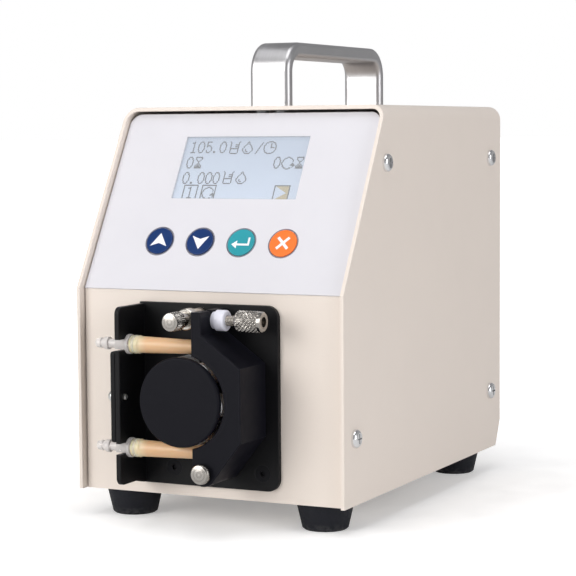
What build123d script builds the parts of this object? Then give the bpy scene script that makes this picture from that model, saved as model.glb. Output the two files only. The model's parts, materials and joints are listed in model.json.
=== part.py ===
"""Benchtop peristaltic pump: a bent-sheet case with a slanted keypad panel, and a six-roller pump
head on the front.  Millimetres.  +X is right seen from the front, the front faces -Y, +Z is up, and
the origin lies on the floor under the middle of the whole pump."""
import os
from math import atan2, cos, radians, sin, sqrt, tan

from build123d import *

# Case: an inverted-U cover over a folded chassis
case_width = 142
case_depth = 210
case_height = 185.5
kink_height = 98.5  # where the front starts to slope back, above the case's bottom
top_setback = 50.5  # how far the slope has gone back at the top
cover_sheet = 2
cover_bend = 7  # outside radius of the cover's two long bends
sheet_edge = 0.4  # rounding of cut sheet edges
rear_cut_depth = 7
rear_cut_height = 13.5
chassis_sheet = 2
panel_recess = 4  # front panel behind the cover's front edge
rear_recess = 6.5
cover_gap = 0.7  # painted sheet to painted sheet
top_gap = 1.4  # dark line between the overlay and the cover's top lip
corner_round = 6  # top corners of the panels, inside the cover's bends

# Feet
foot_height = 13.5
foot_top_radius = 13.6
foot_base_radius = 10.6
foot_inset_x = 19.3  # foot axis from the case's side
foot_inset_y = 21  # foot axis from the case's front and back
foot_screw_radius = 2

# Screws of the cover, measured from the cover's front edge and the case's bottom
cover_screw_radius = 2
cover_screw_head = 4.4
cover_screw_height = 2.5
cover_screw_length = 8
low_screw_height = 31.5
high_screw_drop = 27.5  # high screws below the case's top
low_front_screw = 12
high_front_screw = 50
rear_screw = 193

# Carrying handle
handle_front = 69  # outer face of its front leg behind the cover's front edge
handle_length = 121
handle_rise = 32
handle_width = 22
handle_bar = 7.6
handle_leg = 6
handle_bend = 15
handle_round = 2.6
handle_screw_radius = 2

# Keypad, display and boards, measured on the slope from the kink upwards
overlay_sheet = 0.8
window_width = 67
window_height = 34.3
window_middle = 67.2
key_radius = 7
key_spacing = 22.1
key_shift = -0.4  # the row of keys stands a little left of the middle
key_row = 26.5
key_travel = 0.4
key_proud = 0.5
key_stem_radius = 2.5
board_depth = 14  # panel's outside face to the board's near face
board_sheet = 1.6
board_width = 122
board_height = 78
board_start = 11  # lower edge of the control board

# Head plate: a flat plate with its left edge folded forward
plate_sheet = 2.5
plate_left = 36.5
plate_right = 37
plate_bottom = 5.5
plate_top = 92.6
plate_corner = 6
flange_reach = 24  # folded edge, forward from the plate's face
flange_relief = 2  # folded edge stops this far above the plate's lower edge
plate_screw_left = 18.5
plate_screw_right = 28.5
plate_screw_rise = 35.5
plate_screw_radius = 2
bracket_sheet = 5
bracket_half_height = 42

# Rotor
rotor_height = 49.3  # rotor axis above the case's bottom
shaft_radius = 4
roller_count = 6
roller_radius = 5.4
roller_circle = 15.6
roller_length = 21.6
pin_radius = 1.5
disc_radius = 18.5
disc_sheet = 3
cap_radius = 20.9
cap_sheet = 2.4

# Tube and its two connectors
tube_radius = 3.25
tube_bore = 2.2
tube_depth = 15.5  # tube axis in front of the head plate
tube_end = 31.7  # left end of the tube, from the rotor axis
band_radius = 4.35
band_width = 2
barb_reach = 51  # tip of the outer barb, from the rotor axis
barb_radius = 3
barb_land = 2  # straight band that the outer hose grips
barb_neck = 2.1
shoulder_side = 5
collar_radius = 4.75
collar_sheet = 2
duct_radius = 1.3
clip_sheet = 2.4
clip_height = 43
clip_screw_inset = 4.5  # behind the folded edge's front

# Clamp block, closed; positions from the rotor axis
clamp_depth = 26
clamp_lip = 3
clamp_edge = 0.5
lip_gap = 1.2  # round the rotor's cap
arm_left = 5.5
arm_right = 10.6
arm_top = 41.7
slope_top = 31.3
slope_bottom = 16.7
clamp_right = 30.6
clamp_low = -17.5
pivot_x = 11
pivot_drop = 32.4
pivot_boss = 6.2
pivot_radius = 2.5
pivot_head_radius = 4.75
pivot_head_height = 3.4

# Swing latch
latch_x = -3
latch_rise = 37.2
latch_depth = 13.5  # bolt axis in front of the head plate
latch_rod_radius = 2.4
latch_rod_end = 33
eye_radius = 5
eye_sheet = 5
latch_screw_radius = 2.5
latch_knob_radius = 4.45
latch_knob_length = 8.5
latch_neck_radius = 3.5
latch_neck_length = 6
bush_small_radius = 4
bush_small_length = 1.9
bush_radius = 4.9
bush_length = 5
nut_radius = 5.05
nut_length = 13.3
nut_gap = 5.4

# Motor
motor_side = 57
motor_length = 56
motor_corner = 5
motor_pilot = 19
motor_screw_spacing = 47.14
motor_screw_radius = 2.5

# Back panel fittings
inlet_x = -32
inlet_height = 44
inlet_width = 27.5
inlet_tall = 20
inlet_flange_width = 50
inlet_flange_tall = 24
inlet_screw_spacing = 40
inlet_depth = 26
socket_width = 24
socket_tall = 16.4
socket_depth = 16
switch_x = 22
switch_width = 19
switch_tall = 13
rocker_pin_radius = 1.2
rocker_rest = radians(7)  # the rocker leans this far each way
port_x = -20
port_height = 112
port_width = 39
port_tall = 12.5

# Clearances
running = 0.05  # radial, shaft in bore
moving = 0.3  # between pieces that move past each other
seat = 0.1  # between pieces that are fastened together

# Levels and planes worked out from the sizes above
base = foot_height
front_reach = plate_sheet - panel_recess + latch_depth + eye_sheet / 2 + latch_neck_length
front_reach += latch_knob_length + moving
front_y = (front_reach - case_depth) / 2  # the cover's front edge
slant = atan2(top_setback, case_height - kink_height)
inner_width = case_width - 2 * cover_sheet - 2 * cover_gap
panel_y = front_y + panel_recess
panel_kink = base + kink_height - panel_recess * tan(slant / 2)
slope_length = (base + case_height - cover_sheet - top_gap - panel_kink) / cos(slant)
rear_y = front_y + case_depth - rear_recess  # outside face of the back panel
plate_y = panel_y - plate_sheet  # front face of the head plate
rotor_z = base + rotor_height
roller_reach = roller_circle + roller_radius
tube_circle = roller_reach + moving + tube_radius
track_radius = tube_circle + tube_radius + moving
lip_radius = cap_radius + lip_gap
disc_front = 1 + disc_sheet
roller_back = disc_front + moving
cap_back = roller_back + roller_length + moving
pivot_z = rotor_z - pivot_drop
latch_z = rotor_z + latch_rise
bush_start = arm_right + moving
nut_start = bush_start + bush_small_length + bush_length + nut_gap
bracket_y = panel_y + chassis_sheet + seat
motor_y = bracket_y + bracket_sheet
slope_plane = Plane(
    origin=(0, panel_y, panel_kink), x_dir=(1, 0, 0), z_dir=(0, -cos(slant), sin(slant))
)
key_names = ("key_up", "key_down", "key_enter", "key_escape")
key_places = [(key_shift + (n - 1.5) * key_spacing, key_row) for n in range(4)]
foot_places = {
    "foot_front_left": (-1, -1),
    "foot_front_right": (1, -1),
    "foot_rear_left": (-1, 1),
    "foot_rear_right": (1, 1),
}
board_middle = board_start + board_height / 2
board_corners = [
    (sx * (board_width / 2 - 5), board_middle + sy * (board_height / 2 - 5))
    for sx in (-1, 1)
    for sy in (-1, 1)
]


def facing(y):
    """Plane at depth y that looks forward; its own x and y are the pump's X and Z."""
    return Plane.XZ.offset(-y)


def head(reach):
    """Plane that looks forward, a distance in front of the head plate's face."""
    return facing(plate_y - reach)


def foot_centre(side, end):
    """Floor position of one foot's axis."""
    x = side * (case_width / 2 - foot_inset_x)
    middle = front_y + case_depth / 2
    return x, middle + end * (case_depth / 2 - foot_inset_y)


def save(shape, name):
    """Label a finished piece and write it as one node."""
    shape.label = name
    export_step(shape, f"parts/{name}.step")


os.makedirs("parts", exist_ok=True)

# ---------------------------------------------------------------- case

low_front = (front_y + low_front_screw, base + low_screw_height)
high_front = (front_y + high_front_screw, base + case_height - high_screw_drop)
low_rear = (front_y + rear_screw, base + low_screw_height)
high_rear = (front_y + rear_screw, base + case_height - high_screw_drop)
handle_screw_places = [
    (x, front_y + y)
    for x in (-handle_width / 4, handle_width / 4)
    for y in (handle_front + handle_leg / 2, handle_front + handle_length - handle_leg / 2)
]

with BuildPart() as cover:
    with BuildSketch(Plane.YZ):
        with BuildLine():
            Polyline(
                (front_y, base),
                (front_y + case_depth - rear_cut_depth, base),
                (front_y + case_depth, base + rear_cut_height),
                (front_y + case_depth, base + case_height),
                (front_y + top_setback, base + case_height),
                (front_y, base + kink_height),
                close=True,
            )
        make_face()
    extrude(amount=case_width / 2, both=True)
    fillet(cover.edges().filter_by(Axis.Y).group_by(Axis.Z)[-1], cover_bend)
    with BuildSketch(Plane.XZ) as inside:
        with Locations((0, base - 1)):
            Rectangle(
                case_width - 2 * cover_sheet,
                case_height - cover_sheet + 1,
                align=(Align.CENTER, Align.MIN),
            )
        fillet(inside.vertices().group_by(Axis.Y)[-1], cover_bend - cover_sheet)
    extrude(amount=case_depth, both=True, mode=Mode.SUBTRACT)
    cut_faces = [f for f in cover.faces() if f.normal_at().Y < -0.5]
    rim = ShapeList([e for f in cut_faces for e in f.edges() if e.length > 2 * cover_sheet])
    fillet(rim, sheet_edge)
    with BuildSketch(Plane.YZ):
        with Locations(low_front, high_front, low_rear, high_rear):
            Circle(cover_screw_radius + seat)
    extrude(amount=case_width, both=True, mode=Mode.SUBTRACT)
    with BuildSketch(Plane.XY.offset(base + case_height - cover_sheet - 1)):
        with Locations(*handle_screw_places):
            Circle(handle_screw_radius + seat)
    extrude(amount=cover_sheet + 2, mode=Mode.SUBTRACT)
save(cover.part, "cover")

slope_top_y = panel_y + slope_length * sin(slant)
slope_top_z = panel_kink + slope_length * cos(slant)
with BuildPart() as chassis:
    with BuildSketch(Plane.YZ):
        with BuildLine():
            Polyline(
                (rear_y, base),
                (panel_y, base),
                (panel_y, panel_kink),
                (slope_top_y, slope_top_z),
                (slope_top_y + chassis_sheet * cos(slant), slope_top_z - chassis_sheet * sin(slant)),
                (panel_y + chassis_sheet, panel_kink - chassis_sheet * tan(slant / 2)),
                (panel_y + chassis_sheet, base + chassis_sheet),
                (rear_y, base + chassis_sheet),
                close=True,
            )
        make_face()
    extrude(amount=inner_width / 2, both=True)
    fillet(chassis.edges().filter_by(Axis((0, 0, 0), tuple(slope_plane.z_dir))), corner_round)
    # ears that take the front screws of the cover
    for side in (-1, 1):
        with BuildSketch(Plane.YZ.offset(side * inner_width / 2)):
            with Locations((panel_y, base)):
                Rectangle(
                    low_front_screw - panel_recess + 8,
                    low_screw_height + 8,
                    align=(Align.MIN, Align.MIN),
                )
            with BuildLine():
                Polyline(
                    (panel_y + (high_front[1] - 12 - panel_kink) * tan(slant) + 1, high_front[1] - 12),
                    (high_front[0] + 8, high_front[1] - 12),
                    (high_front[0] + 8, high_front[1] + 9),
                    (panel_y + (high_front[1] + 9 - panel_kink) * tan(slant) + 1, high_front[1] + 9),
                    close=True,
                )
            make_face()
            with Locations(low_front, high_front):
                Circle(cover_screw_radius + running, mode=Mode.SUBTRACT)
        extrude(amount=-side * chassis_sheet)
    # front wall: shaft hole and the four screws that hold the head plate
    with BuildSketch(facing(panel_y + chassis_sheet)):
        with Locations((0, rotor_z)):
            Circle(motor_pilot + seat)
        for x in (-plate_screw_left, plate_screw_right):
            for rise in (-plate_screw_rise, plate_screw_rise):
                with Locations((x, rotor_z + rise)):
                    Circle(plate_screw_radius + seat)
        for x, z in ((pivot_x, pivot_z), (latch_x, latch_z)):
            with Locations((x, z)):
                Circle(pivot_radius + seat)
    extrude(amount=chassis_sheet, mode=Mode.SUBTRACT)
    # sloping wall: display opening, key stems
    with BuildSketch(slope_plane):
        with Locations((0, window_middle)):
            Rectangle(window_width + 2, window_height + 2)
        with Locations(*key_places):
            Circle(key_stem_radius + moving)
    extrude(amount=-chassis_sheet, mode=Mode.SUBTRACT)
    # floor: foot screws and air slots
    with BuildSketch(Plane.XY.offset(base)):
        for spot in foot_places.values():
            with Locations(foot_centre(*spot)):
                Circle(foot_screw_radius + running)
        with Locations((0, front_y + case_depth / 2)):
            with GridLocations(0, 9, 1, 6):
                SlotOverall(44, 3)
    extrude(amount=chassis_sheet, mode=Mode.SUBTRACT)
save(chassis.part, "chassis")

rear_low = base + chassis_sheet + seat
rear_tall = case_height - cover_sheet - chassis_sheet - 1
switch_z = base + inlet_height
port_z = base + port_height
with BuildPart() as rear_panel:
    with BuildSketch(facing(rear_y)) as rear_shape:
        with Locations((0, rear_low)):
            Rectangle(inner_width, rear_tall, align=(Align.CENTER, Align.MIN))
        fillet(rear_shape.vertices().group_by(Axis.Y)[-1], corner_round)
        with Locations((inlet_x, switch_z)):
            Rectangle(inlet_width + 2 * seat, inlet_tall + 2 * seat, mode=Mode.SUBTRACT)
            with GridLocations(inlet_screw_spacing, 0, 2, 1):
                Circle(1.6, mode=Mode.SUBTRACT)
        with Locations((switch_x, switch_z)):
            Rectangle(switch_width + 2 * seat, switch_tall + 2 * seat, mode=Mode.SUBTRACT)
        with Locations((port_x, port_z)):
            Rectangle(port_width - 14, port_tall - 3, mode=Mode.SUBTRACT)
            with GridLocations(port_width - 6, 0, 2, 1):
                Circle(1.7, mode=Mode.SUBTRACT)
        with Locations((port_x + 50, port_z + 10)):
            with GridLocations(0, 7, 1, 6):
                SlotOverall(34, 3, mode=Mode.SUBTRACT)
    extrude(amount=chassis_sheet)
    for side in (-1, 1):
        with BuildSketch(Plane.YZ.offset(side * inner_width / 2)):
            with Locations((rear_y - 18, rear_low)):
                Rectangle(18, rear_tall - corner_round, align=(Align.MIN, Align.MIN))
            with Locations(low_rear, high_rear):
                Circle(cover_screw_radius + running, mode=Mode.SUBTRACT)
        extrude(amount=-side * chassis_sheet)
save(rear_panel.part, "rear_panel")


def screw(head_radius, head_height, recess, shank_radius, shank_length):
    """Pan-head machine screw: the head stands above its plane, the shank hangs below it."""
    with BuildPart() as one:
        with BuildSketch(Plane.XY):
            Circle(head_radius)
        extrude(amount=head_height)
        fillet(one.faces().sort_by(Axis.Z)[-1].edges(), head_height * 0.75)
        with BuildSketch(Plane.XY.offset(head_height)):
            Rectangle(2 * recess, recess * 0.3)
            Rectangle(recess * 0.3, 2 * recess)
        extrude(amount=-head_height * 0.6, mode=Mode.SUBTRACT)
        with BuildSketch(Plane.XY):
            Circle(shank_radius)
        extrude(amount=-shank_length)
        chamfer(one.faces().sort_by(Axis.Z)[0].edges(), shank_radius * 0.25)
    return one.part


cover_screw = screw(cover_screw_head, cover_screw_height, 2.4, cover_screw_radius, cover_screw_length)
with BuildPart() as cover_screws:
    for side in (-1, 1):
        for y, z in (low_front, high_front, low_rear, high_rear):
            with Locations(Plane((side * case_width / 2, y, z), x_dir=(0, 1, 0), z_dir=(side, 0, 0))):
                add(cover_screw)
save(cover_screws.part, "cover_screws")

# ---------------------------------------------------------------- feet

for name, spot in foot_places.items():
    with BuildPart() as foot:
        with BuildSketch(Plane.XZ):
            with BuildLine():
                Polyline(
                    (foot_screw_radius + seat, foot_height - 0.05),
                    (foot_top_radius, foot_height - 0.05),
                    (foot_top_radius, foot_height - 1.5),
                    (foot_base_radius + 0.4, 0.8),
                    (foot_base_radius - 0.6, 0),
                    (5, 0),
                    (5, foot_height / 2),
                    (foot_screw_radius + seat, foot_height / 2),
                    close=True,
                )
            make_face()
        revolve(axis=Axis.Z)
    x, y = foot_centre(*spot)
    save(foot.part.moved(Location((x, y, 0))), name)

foot_screw = screw(4, 2.6, 2.2, foot_screw_radius, foot_height / 2 + 6)
with BuildPart() as foot_screws:
    for spot in foot_places.values():
        x, y = foot_centre(*spot)
        with Locations(Plane((x, y, foot_height / 2 - seat), z_dir=(0, 0, -1))):
            add(foot_screw)
save(foot_screws.part, "foot_screws")

# ---------------------------------------------------------------- handle

top_z = base + case_height
with BuildPart() as handle:
    with BuildSketch(Plane.YZ):
        with Locations((front_y + handle_front, top_z)):
            outer = Rectangle(handle_length, handle_rise, align=(Align.MIN, Align.MIN))
        fillet(outer.vertices().group_by(Axis.Y)[-1], handle_bend)
        with BuildSketch(mode=Mode.PRIVATE) as gap:
            with Locations((front_y + handle_front + handle_leg, top_z)):
                hole = Rectangle(
                    handle_length - 2 * handle_leg,
                    handle_rise - handle_bar,
                    align=(Align.MIN, Align.MIN),
                )
            fillet(hole.vertices().group_by(Axis.Y)[-1], handle_bend - handle_bar)
        add(gap.sketch, mode=Mode.SUBTRACT)
    extrude(amount=handle_width / 2, both=True)
    sides = handle.faces().filter_by(Axis.X)
    fillet(sides.edges().filter_by(lambda e: e.center().Z > top_z + 0.1), handle_round)
    with BuildSketch(Plane.XY.offset(top_z)):
        with Locations(*handle_screw_places):
            Circle(handle_screw_radius + running)
    extrude(amount=9, mode=Mode.SUBTRACT)
save(handle.part, "handle")

handle_screw = screw(3.6, 2.4, 2, handle_screw_radius, cover_sheet + 8)
with BuildPart() as handle_screws:
    for x, y in handle_screw_places:
        with Locations(Plane((x, y, top_z - cover_sheet), z_dir=(0, 0, -1))):
            add(handle_screw)
save(handle_screws.part, "handle_screws")

# ---------------------------------------------------------------- keypad and display

with BuildPart() as membrane_overlay:
    with BuildSketch(slope_plane) as overlay_shape:
        with Locations((0, slope_length / 2)):
            Rectangle(inner_width, slope_length - 1)
        fillet(overlay_shape.vertices().group_by(Axis.Y)[-1], corner_round)
        with Locations((0, window_middle)):
            Rectangle(window_width + 2 * seat, window_height + 2 * seat, mode=Mode.SUBTRACT)
        with Locations(*key_places):
            Circle(key_radius + moving, mode=Mode.SUBTRACT)
    extrude(amount=overlay_sheet)
save(membrane_overlay.part, "membrane_overlay")

with BuildPart() as display_window:
    with BuildSketch(slope_plane):
        with Locations((0, window_middle)):
            Rectangle(window_width, window_height)
    extrude(amount=overlay_sheet)
save(display_window.part, "display_window")

with BuildPart() as display_module:
    with BuildSketch(slope_plane.offset(-chassis_sheet - seat)):
        with Locations((0, window_middle)):
            Rectangle(window_width + 12, window_height + 12)
    extrude(amount=-8)
    with BuildSketch(slope_plane.offset(-chassis_sheet - seat)):
        with Locations((0, window_middle)):
            Rectangle(window_width + 1, window_height + 1)
    extrude(amount=chassis_sheet - 0.3)
save(display_module.part, "display_module")

for name, place in zip(key_names, key_places):
    with BuildPart() as key:
        cap_sheet_height = overlay_sheet + key_proud - key_travel - 0.2
        with BuildSketch(slope_plane.offset(overlay_sheet + key_proud)):
            with Locations(place):
                Circle(key_radius)
        extrude(amount=-cap_sheet_height)
        chamfer(key.edges().group_by(SortBy.LENGTH)[-1].sort_by(Axis.Z)[-1], 0.25)
        with BuildSketch(slope_plane.offset(overlay_sheet)):
            with Locations(place):
                Circle(key_stem_radius)
        extrude(amount=-overlay_sheet - board_depth + key_travel + moving)
    save(key.part, name)

with BuildPart() as control_board:
    with BuildSketch(slope_plane.offset(-board_depth)):
        with Locations((0, board_middle)):
            Rectangle(board_width, board_height)
        with Locations(*board_corners):
            Circle(1.6, mode=Mode.SUBTRACT)
    extrude(amount=-board_sheet)
    with BuildSketch(slope_plane.offset(-board_depth - board_sheet)):
        with Locations((-30, 45)):
            Rectangle(14, 14)
        with Locations((20, 30)):
            Rectangle(24, 12)
        with Locations((34, 62)):
            Rectangle(10, 22)
    extrude(amount=-5)
save(control_board.part, "control_board")

with BuildPart() as board_spacers:
    with BuildSketch(slope_plane.offset(-chassis_sheet)):
        with Locations(*board_corners):
            Circle(3)
    extrude(amount=-(board_depth - chassis_sheet - seat))
save(board_spacers.part, "board_spacers")

# ---------------------------------------------------------------- head plate

flange_front = plate_y - flange_reach
notch_depth = tube_depth - shoulder_side / 2 - seat
with BuildPart() as head_plate:
    with BuildSketch(facing(panel_y)) as plate_shape:
        with Locations(((plate_right - plate_left) / 2, base + (plate_top + plate_bottom) / 2)):
            Rectangle(plate_right + plate_left, plate_top - plate_bottom)
        fillet(plate_shape.vertices().group_by(Axis.X)[-1], plate_corner)
        with Locations((0, rotor_z)):
            Circle(shaft_radius + 2.5, mode=Mode.SUBTRACT)
        for x, z in ((pivot_x, pivot_z), (latch_x, latch_z)):
            with Locations((x, z)):
                Circle(pivot_radius + running, mode=Mode.SUBTRACT)
    extrude(amount=plate_sheet)
    with BuildSketch(Plane.YZ.offset(-plate_left)) as flange_shape:
        with BuildLine():
            Polyline(
                (plate_y + 0.5, base + plate_bottom + 0.4),
                (plate_y - 2, base + plate_bottom + 0.4),
                (plate_y - 9, base + plate_bottom + flange_relief),
                (flange_front, base + plate_bottom + flange_relief),
                (flange_front, base + plate_top - 2 * sheet_edge),
                (plate_y + 0.5, base + plate_top - 2 * sheet_edge),
                close=True,
            )
        make_face()
        fillet(flange_shape.vertices().group_by(Axis.X)[0], 3.5)
        for rise in (-tube_circle, tube_circle):
            with Locations((flange_front - 1, rotor_z + rise)):
                Rectangle(
                    flange_reach - notch_depth + 1,
                    shoulder_side + 2 * seat,
                    align=(Align.MIN, Align.CENTER),
                    mode=Mode.SUBTRACT,
                )
        with Locations((flange_front + clip_screw_inset, rotor_z)):
            Circle(1.5 + seat, mode=Mode.SUBTRACT)
    extrude(amount=plate_sheet)
    fold = head_plate.edges().filter_by(Axis.Z)
    fillet(fold.filter_by_position(Axis.X, -plate_left - 0.01, -plate_left + 0.01).sort_by(Axis.Y)[-1], 2)
    plate_front = head_plate.faces().filter_by(lambda f: abs(f.center().Y - plate_y) < 0.01)
    fillet(plate_front.edges().filter_by(lambda e: e.center().X > -plate_left + 4 and e.length > 30), sheet_edge)
    tab_edges = head_plate.edges().filter_by(Axis.Z)
    fillet(tab_edges.filter_by(lambda e: abs(e.center().Y - flange_front) < 0.01), sheet_edge)
    for x in (-plate_screw_left, plate_screw_right):
        for rise in (-plate_screw_rise, plate_screw_rise):
            with Locations(Plane((x, plate_y, rotor_z + rise), z_dir=(0, -1, 0))):
                CounterSinkHole(plate_screw_radius + seat, plate_screw_radius * 2 + seat, plate_sheet)
save(head_plate.part, "head_plate")

with BuildPart() as plate_screws:
    for x in (-plate_screw_left, plate_screw_right):
        for rise in (-plate_screw_rise, plate_screw_rise):
            with Locations(Plane((x, plate_y + seat, rotor_z + rise), z_dir=(0, -1, 0))):
                with Locations((0, 0, -plate_screw_radius / 2)):
                    Cone(plate_screw_radius, plate_screw_radius * 2, plate_screw_radius)
                with Locations((0, 0, -plate_screw_radius)):
                    Cylinder(
                        plate_screw_radius,
                        plate_sheet + chassis_sheet + bracket_sheet - plate_screw_radius,
                        align=(Align.CENTER, Align.CENTER, Align.MAX),
                    )
                Cylinder(
                    1.3,
                    1.2,
                    align=(Align.CENTER, Align.CENTER, Align.MAX),
                    mode=Mode.SUBTRACT,
                )
save(plate_screws.part, "plate_screws")

with BuildPart() as tube_clip:
    with BuildSketch(Plane.YZ.offset(-plate_left - seat)) as clip_shape:
        with Locations((flange_front, rotor_z)):
            Rectangle(16, clip_height, align=(Align.MIN, Align.CENTER))
        fillet(clip_shape.vertices(), 1.5)
        with Locations((flange_front + clip_screw_inset, rotor_z)):
            Circle(1.5 + running, mode=Mode.SUBTRACT)
    extrude(amount=-clip_sheet)
    clip_edges = tube_clip.edges().filter_by(Axis.Z)
    fillet(clip_edges.filter_by(lambda e: abs(e.center().Y - flange_front) < 0.01), sheet_edge)
save(tube_clip.part, "tube_clip")

with BuildPart() as clip_screw:
    clip_face = -plate_left - seat - clip_sheet
    clip_screw_y = flange_front + clip_screw_inset
    with Locations(Plane((clip_face, clip_screw_y, rotor_z), x_dir=(0, 1, 0), z_dir=(-1, 0, 0))):
        add(screw(2.8, 3.4, 1.6, 1.5, clip_sheet + plate_sheet + 1.2))
save(clip_screw.part, "clip_screw")

with BuildPart() as shaft_bush:
    with BuildSketch(facing(panel_y)):
        with Locations((0, rotor_z)):
            Circle(shaft_radius + 2.5 - seat)
            Circle(shaft_radius + running, mode=Mode.SUBTRACT)
    extrude(amount=plate_sheet + 0.5)
save(shaft_bush.part, "shaft_bush")

# ---------------------------------------------------------------- rotor

roller_places = [
    (
        roller_circle * cos(radians(-5 + n * 360 / roller_count)),
        rotor_z + roller_circle * sin(radians(-5 + n * 360 / roller_count)),
    )
    for n in range(roller_count)
]
core_radius = roller_circle - roller_radius - 1

with BuildPart() as rotor_hub:
    with BuildSketch(head(1)):
        with Locations((0, rotor_z)):
            Circle(disc_radius)
            Circle(shaft_radius + running, mode=Mode.SUBTRACT)
        with Locations(*roller_places):
            Circle(pin_radius + running, mode=Mode.SUBTRACT)
    extrude(amount=disc_sheet)
    with BuildSketch(head(disc_front)):
        with Locations((0, rotor_z)):
            Circle(core_radius)
            Circle(shaft_radius + running, mode=Mode.SUBTRACT)
    extrude(amount=cap_back - disc_front - seat)
save(rotor_hub.part, "rotor_hub")

with BuildPart() as rotor_cap:
    with BuildSketch(head(cap_back)):
        with Locations((0, rotor_z)):
            Circle(cap_radius)
    extrude(amount=cap_sheet)
    fillet(rotor_cap.faces().sort_by(Axis.Y)[0].edges(), 1)
    with BuildSketch(head(cap_back)):
        with Locations(*roller_places):
            Circle(pin_radius + running)
    extrude(amount=cap_sheet / 2, mode=Mode.SUBTRACT)
save(rotor_cap.part, "rotor_cap")

with BuildPart() as roller_pins:
    with BuildSketch(head(1)):
        with Locations(*roller_places):
            Circle(pin_radius)
    extrude(amount=cap_back + cap_sheet / 2 - 1 - seat)
save(roller_pins.part, "roller_pins")

for number, place in enumerate(roller_places, start=1):
    with BuildPart() as roller:
        with BuildSketch(head(roller_back)):
            with Locations(place):
                Circle(roller_radius)
        extrude(amount=roller_length)
        chamfer(roller.edges(), 0.5)
        with BuildSketch(head(roller_back)):
            with Locations(place):
                Circle(pin_radius + running)
        extrude(amount=roller_length, mode=Mode.SUBTRACT)
    save(roller.part, f"roller_{number}")

with BuildPart() as motor_shaft:
    with BuildSketch(facing(motor_y + 20)):
        with Locations((0, rotor_z)):
            Circle(shaft_radius)
    extrude(amount=motor_y + 20 - plate_y + cap_back - 1)
save(motor_shaft.part, "motor_shaft")

# ---------------------------------------------------------------- motor

motor_holes = [
    (sx * motor_screw_spacing / 2, rotor_z + sz * motor_screw_spacing / 2)
    for sx in (-1, 1)
    for sz in (-1, 1)
]
with BuildPart() as motor_bracket:
    with BuildSketch(facing(bracket_y + bracket_sheet)) as bracket_shape:
        with Locations((0, rotor_z)):
            Rectangle(motor_side + 8, 2 * bracket_half_height)
        fillet(bracket_shape.vertices(), 4)
        with Locations((0, rotor_z)):
            Circle(motor_pilot + seat, mode=Mode.SUBTRACT)
        for x in (-plate_screw_left, plate_screw_right):
            for rise in (-plate_screw_rise, plate_screw_rise):
                with Locations((x, rotor_z + rise)):
                    Circle(plate_screw_radius + running, mode=Mode.SUBTRACT)
        for x, z in ((pivot_x, pivot_z), (latch_x, latch_z)):
            with Locations((x, z)):
                Circle(pivot_radius + running, mode=Mode.SUBTRACT)
    extrude(amount=bracket_sheet)
    for x, z in motor_holes:
        with Locations(Plane((x, bracket_y, z), z_dir=(0, -1, 0))):
            CounterBoreHole(motor_screw_radius + seat, 4.6, 3, bracket_sheet)
save(motor_bracket.part, "motor_bracket")

with BuildPart() as motor_screws:
    for x, z in motor_holes:
        with Locations(Plane((x, bracket_y + 3, z), z_dir=(0, -1, 0))):
            Cylinder(4.25, 2.8, align=(Align.CENTER, Align.CENTER, Align.MIN))
            Cylinder(motor_screw_radius, 11, align=(Align.CENTER, Align.CENTER, Align.MAX))
            with Locations((0, 0, 2.8)):
                Cylinder(
                    2, 1.6, align=(Align.CENTER, Align.CENTER, Align.MAX), mode=Mode.SUBTRACT
                )
save(motor_screws.part, "motor_screws")

with BuildPart() as motor:
    with BuildSketch(facing(motor_y + seat + motor_length)) as motor_shape:
        with Locations((0, rotor_z)):
            Rectangle(motor_side, motor_side)
        chamfer(motor_shape.vertices(), motor_corner)
    extrude(amount=motor_length)
    with BuildSketch(facing(motor_y + seat)):
        with Locations((0, rotor_z)):
            Circle(motor_pilot)
    extrude(amount=1.6)
    for x, z in motor_holes:
        with Locations(Plane((x, motor_y + seat, z), z_dir=(0, -1, 0))):
            Hole(motor_screw_radius + running, 10)
    with BuildSketch(facing(motor_y - 2)):
        with Locations((0, rotor_z)):
            Circle(shaft_radius + running)
    extrude(amount=-25, mode=Mode.SUBTRACT)
save(motor.part, "motor")

# ---------------------------------------------------------------- tube and connectors

tube_y = plate_y - tube_depth
with BuildPart() as pump_tube:
    with BuildLine() as route:
        Line((-tube_end, tube_y, rotor_z + tube_circle), (0, tube_y, rotor_z + tube_circle))
        ThreePointArc(
            (0, tube_y, rotor_z + tube_circle),
            (tube_circle, tube_y, rotor_z),
            (0, tube_y, rotor_z - tube_circle),
        )
        Line((0, tube_y, rotor_z - tube_circle), (-tube_end, tube_y, rotor_z - tube_circle))
    tube_start = Plane((-tube_end, tube_y, rotor_z + tube_circle), x_dir=(0, 1, 0), z_dir=(1, 0, 0))
    with BuildSketch(tube_start):
        Circle(tube_radius)
        Circle(tube_bore + running, mode=Mode.SUBTRACT)
    sweep(path=route.wires()[0])
save(pump_tube.part, "pump_tube")

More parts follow.
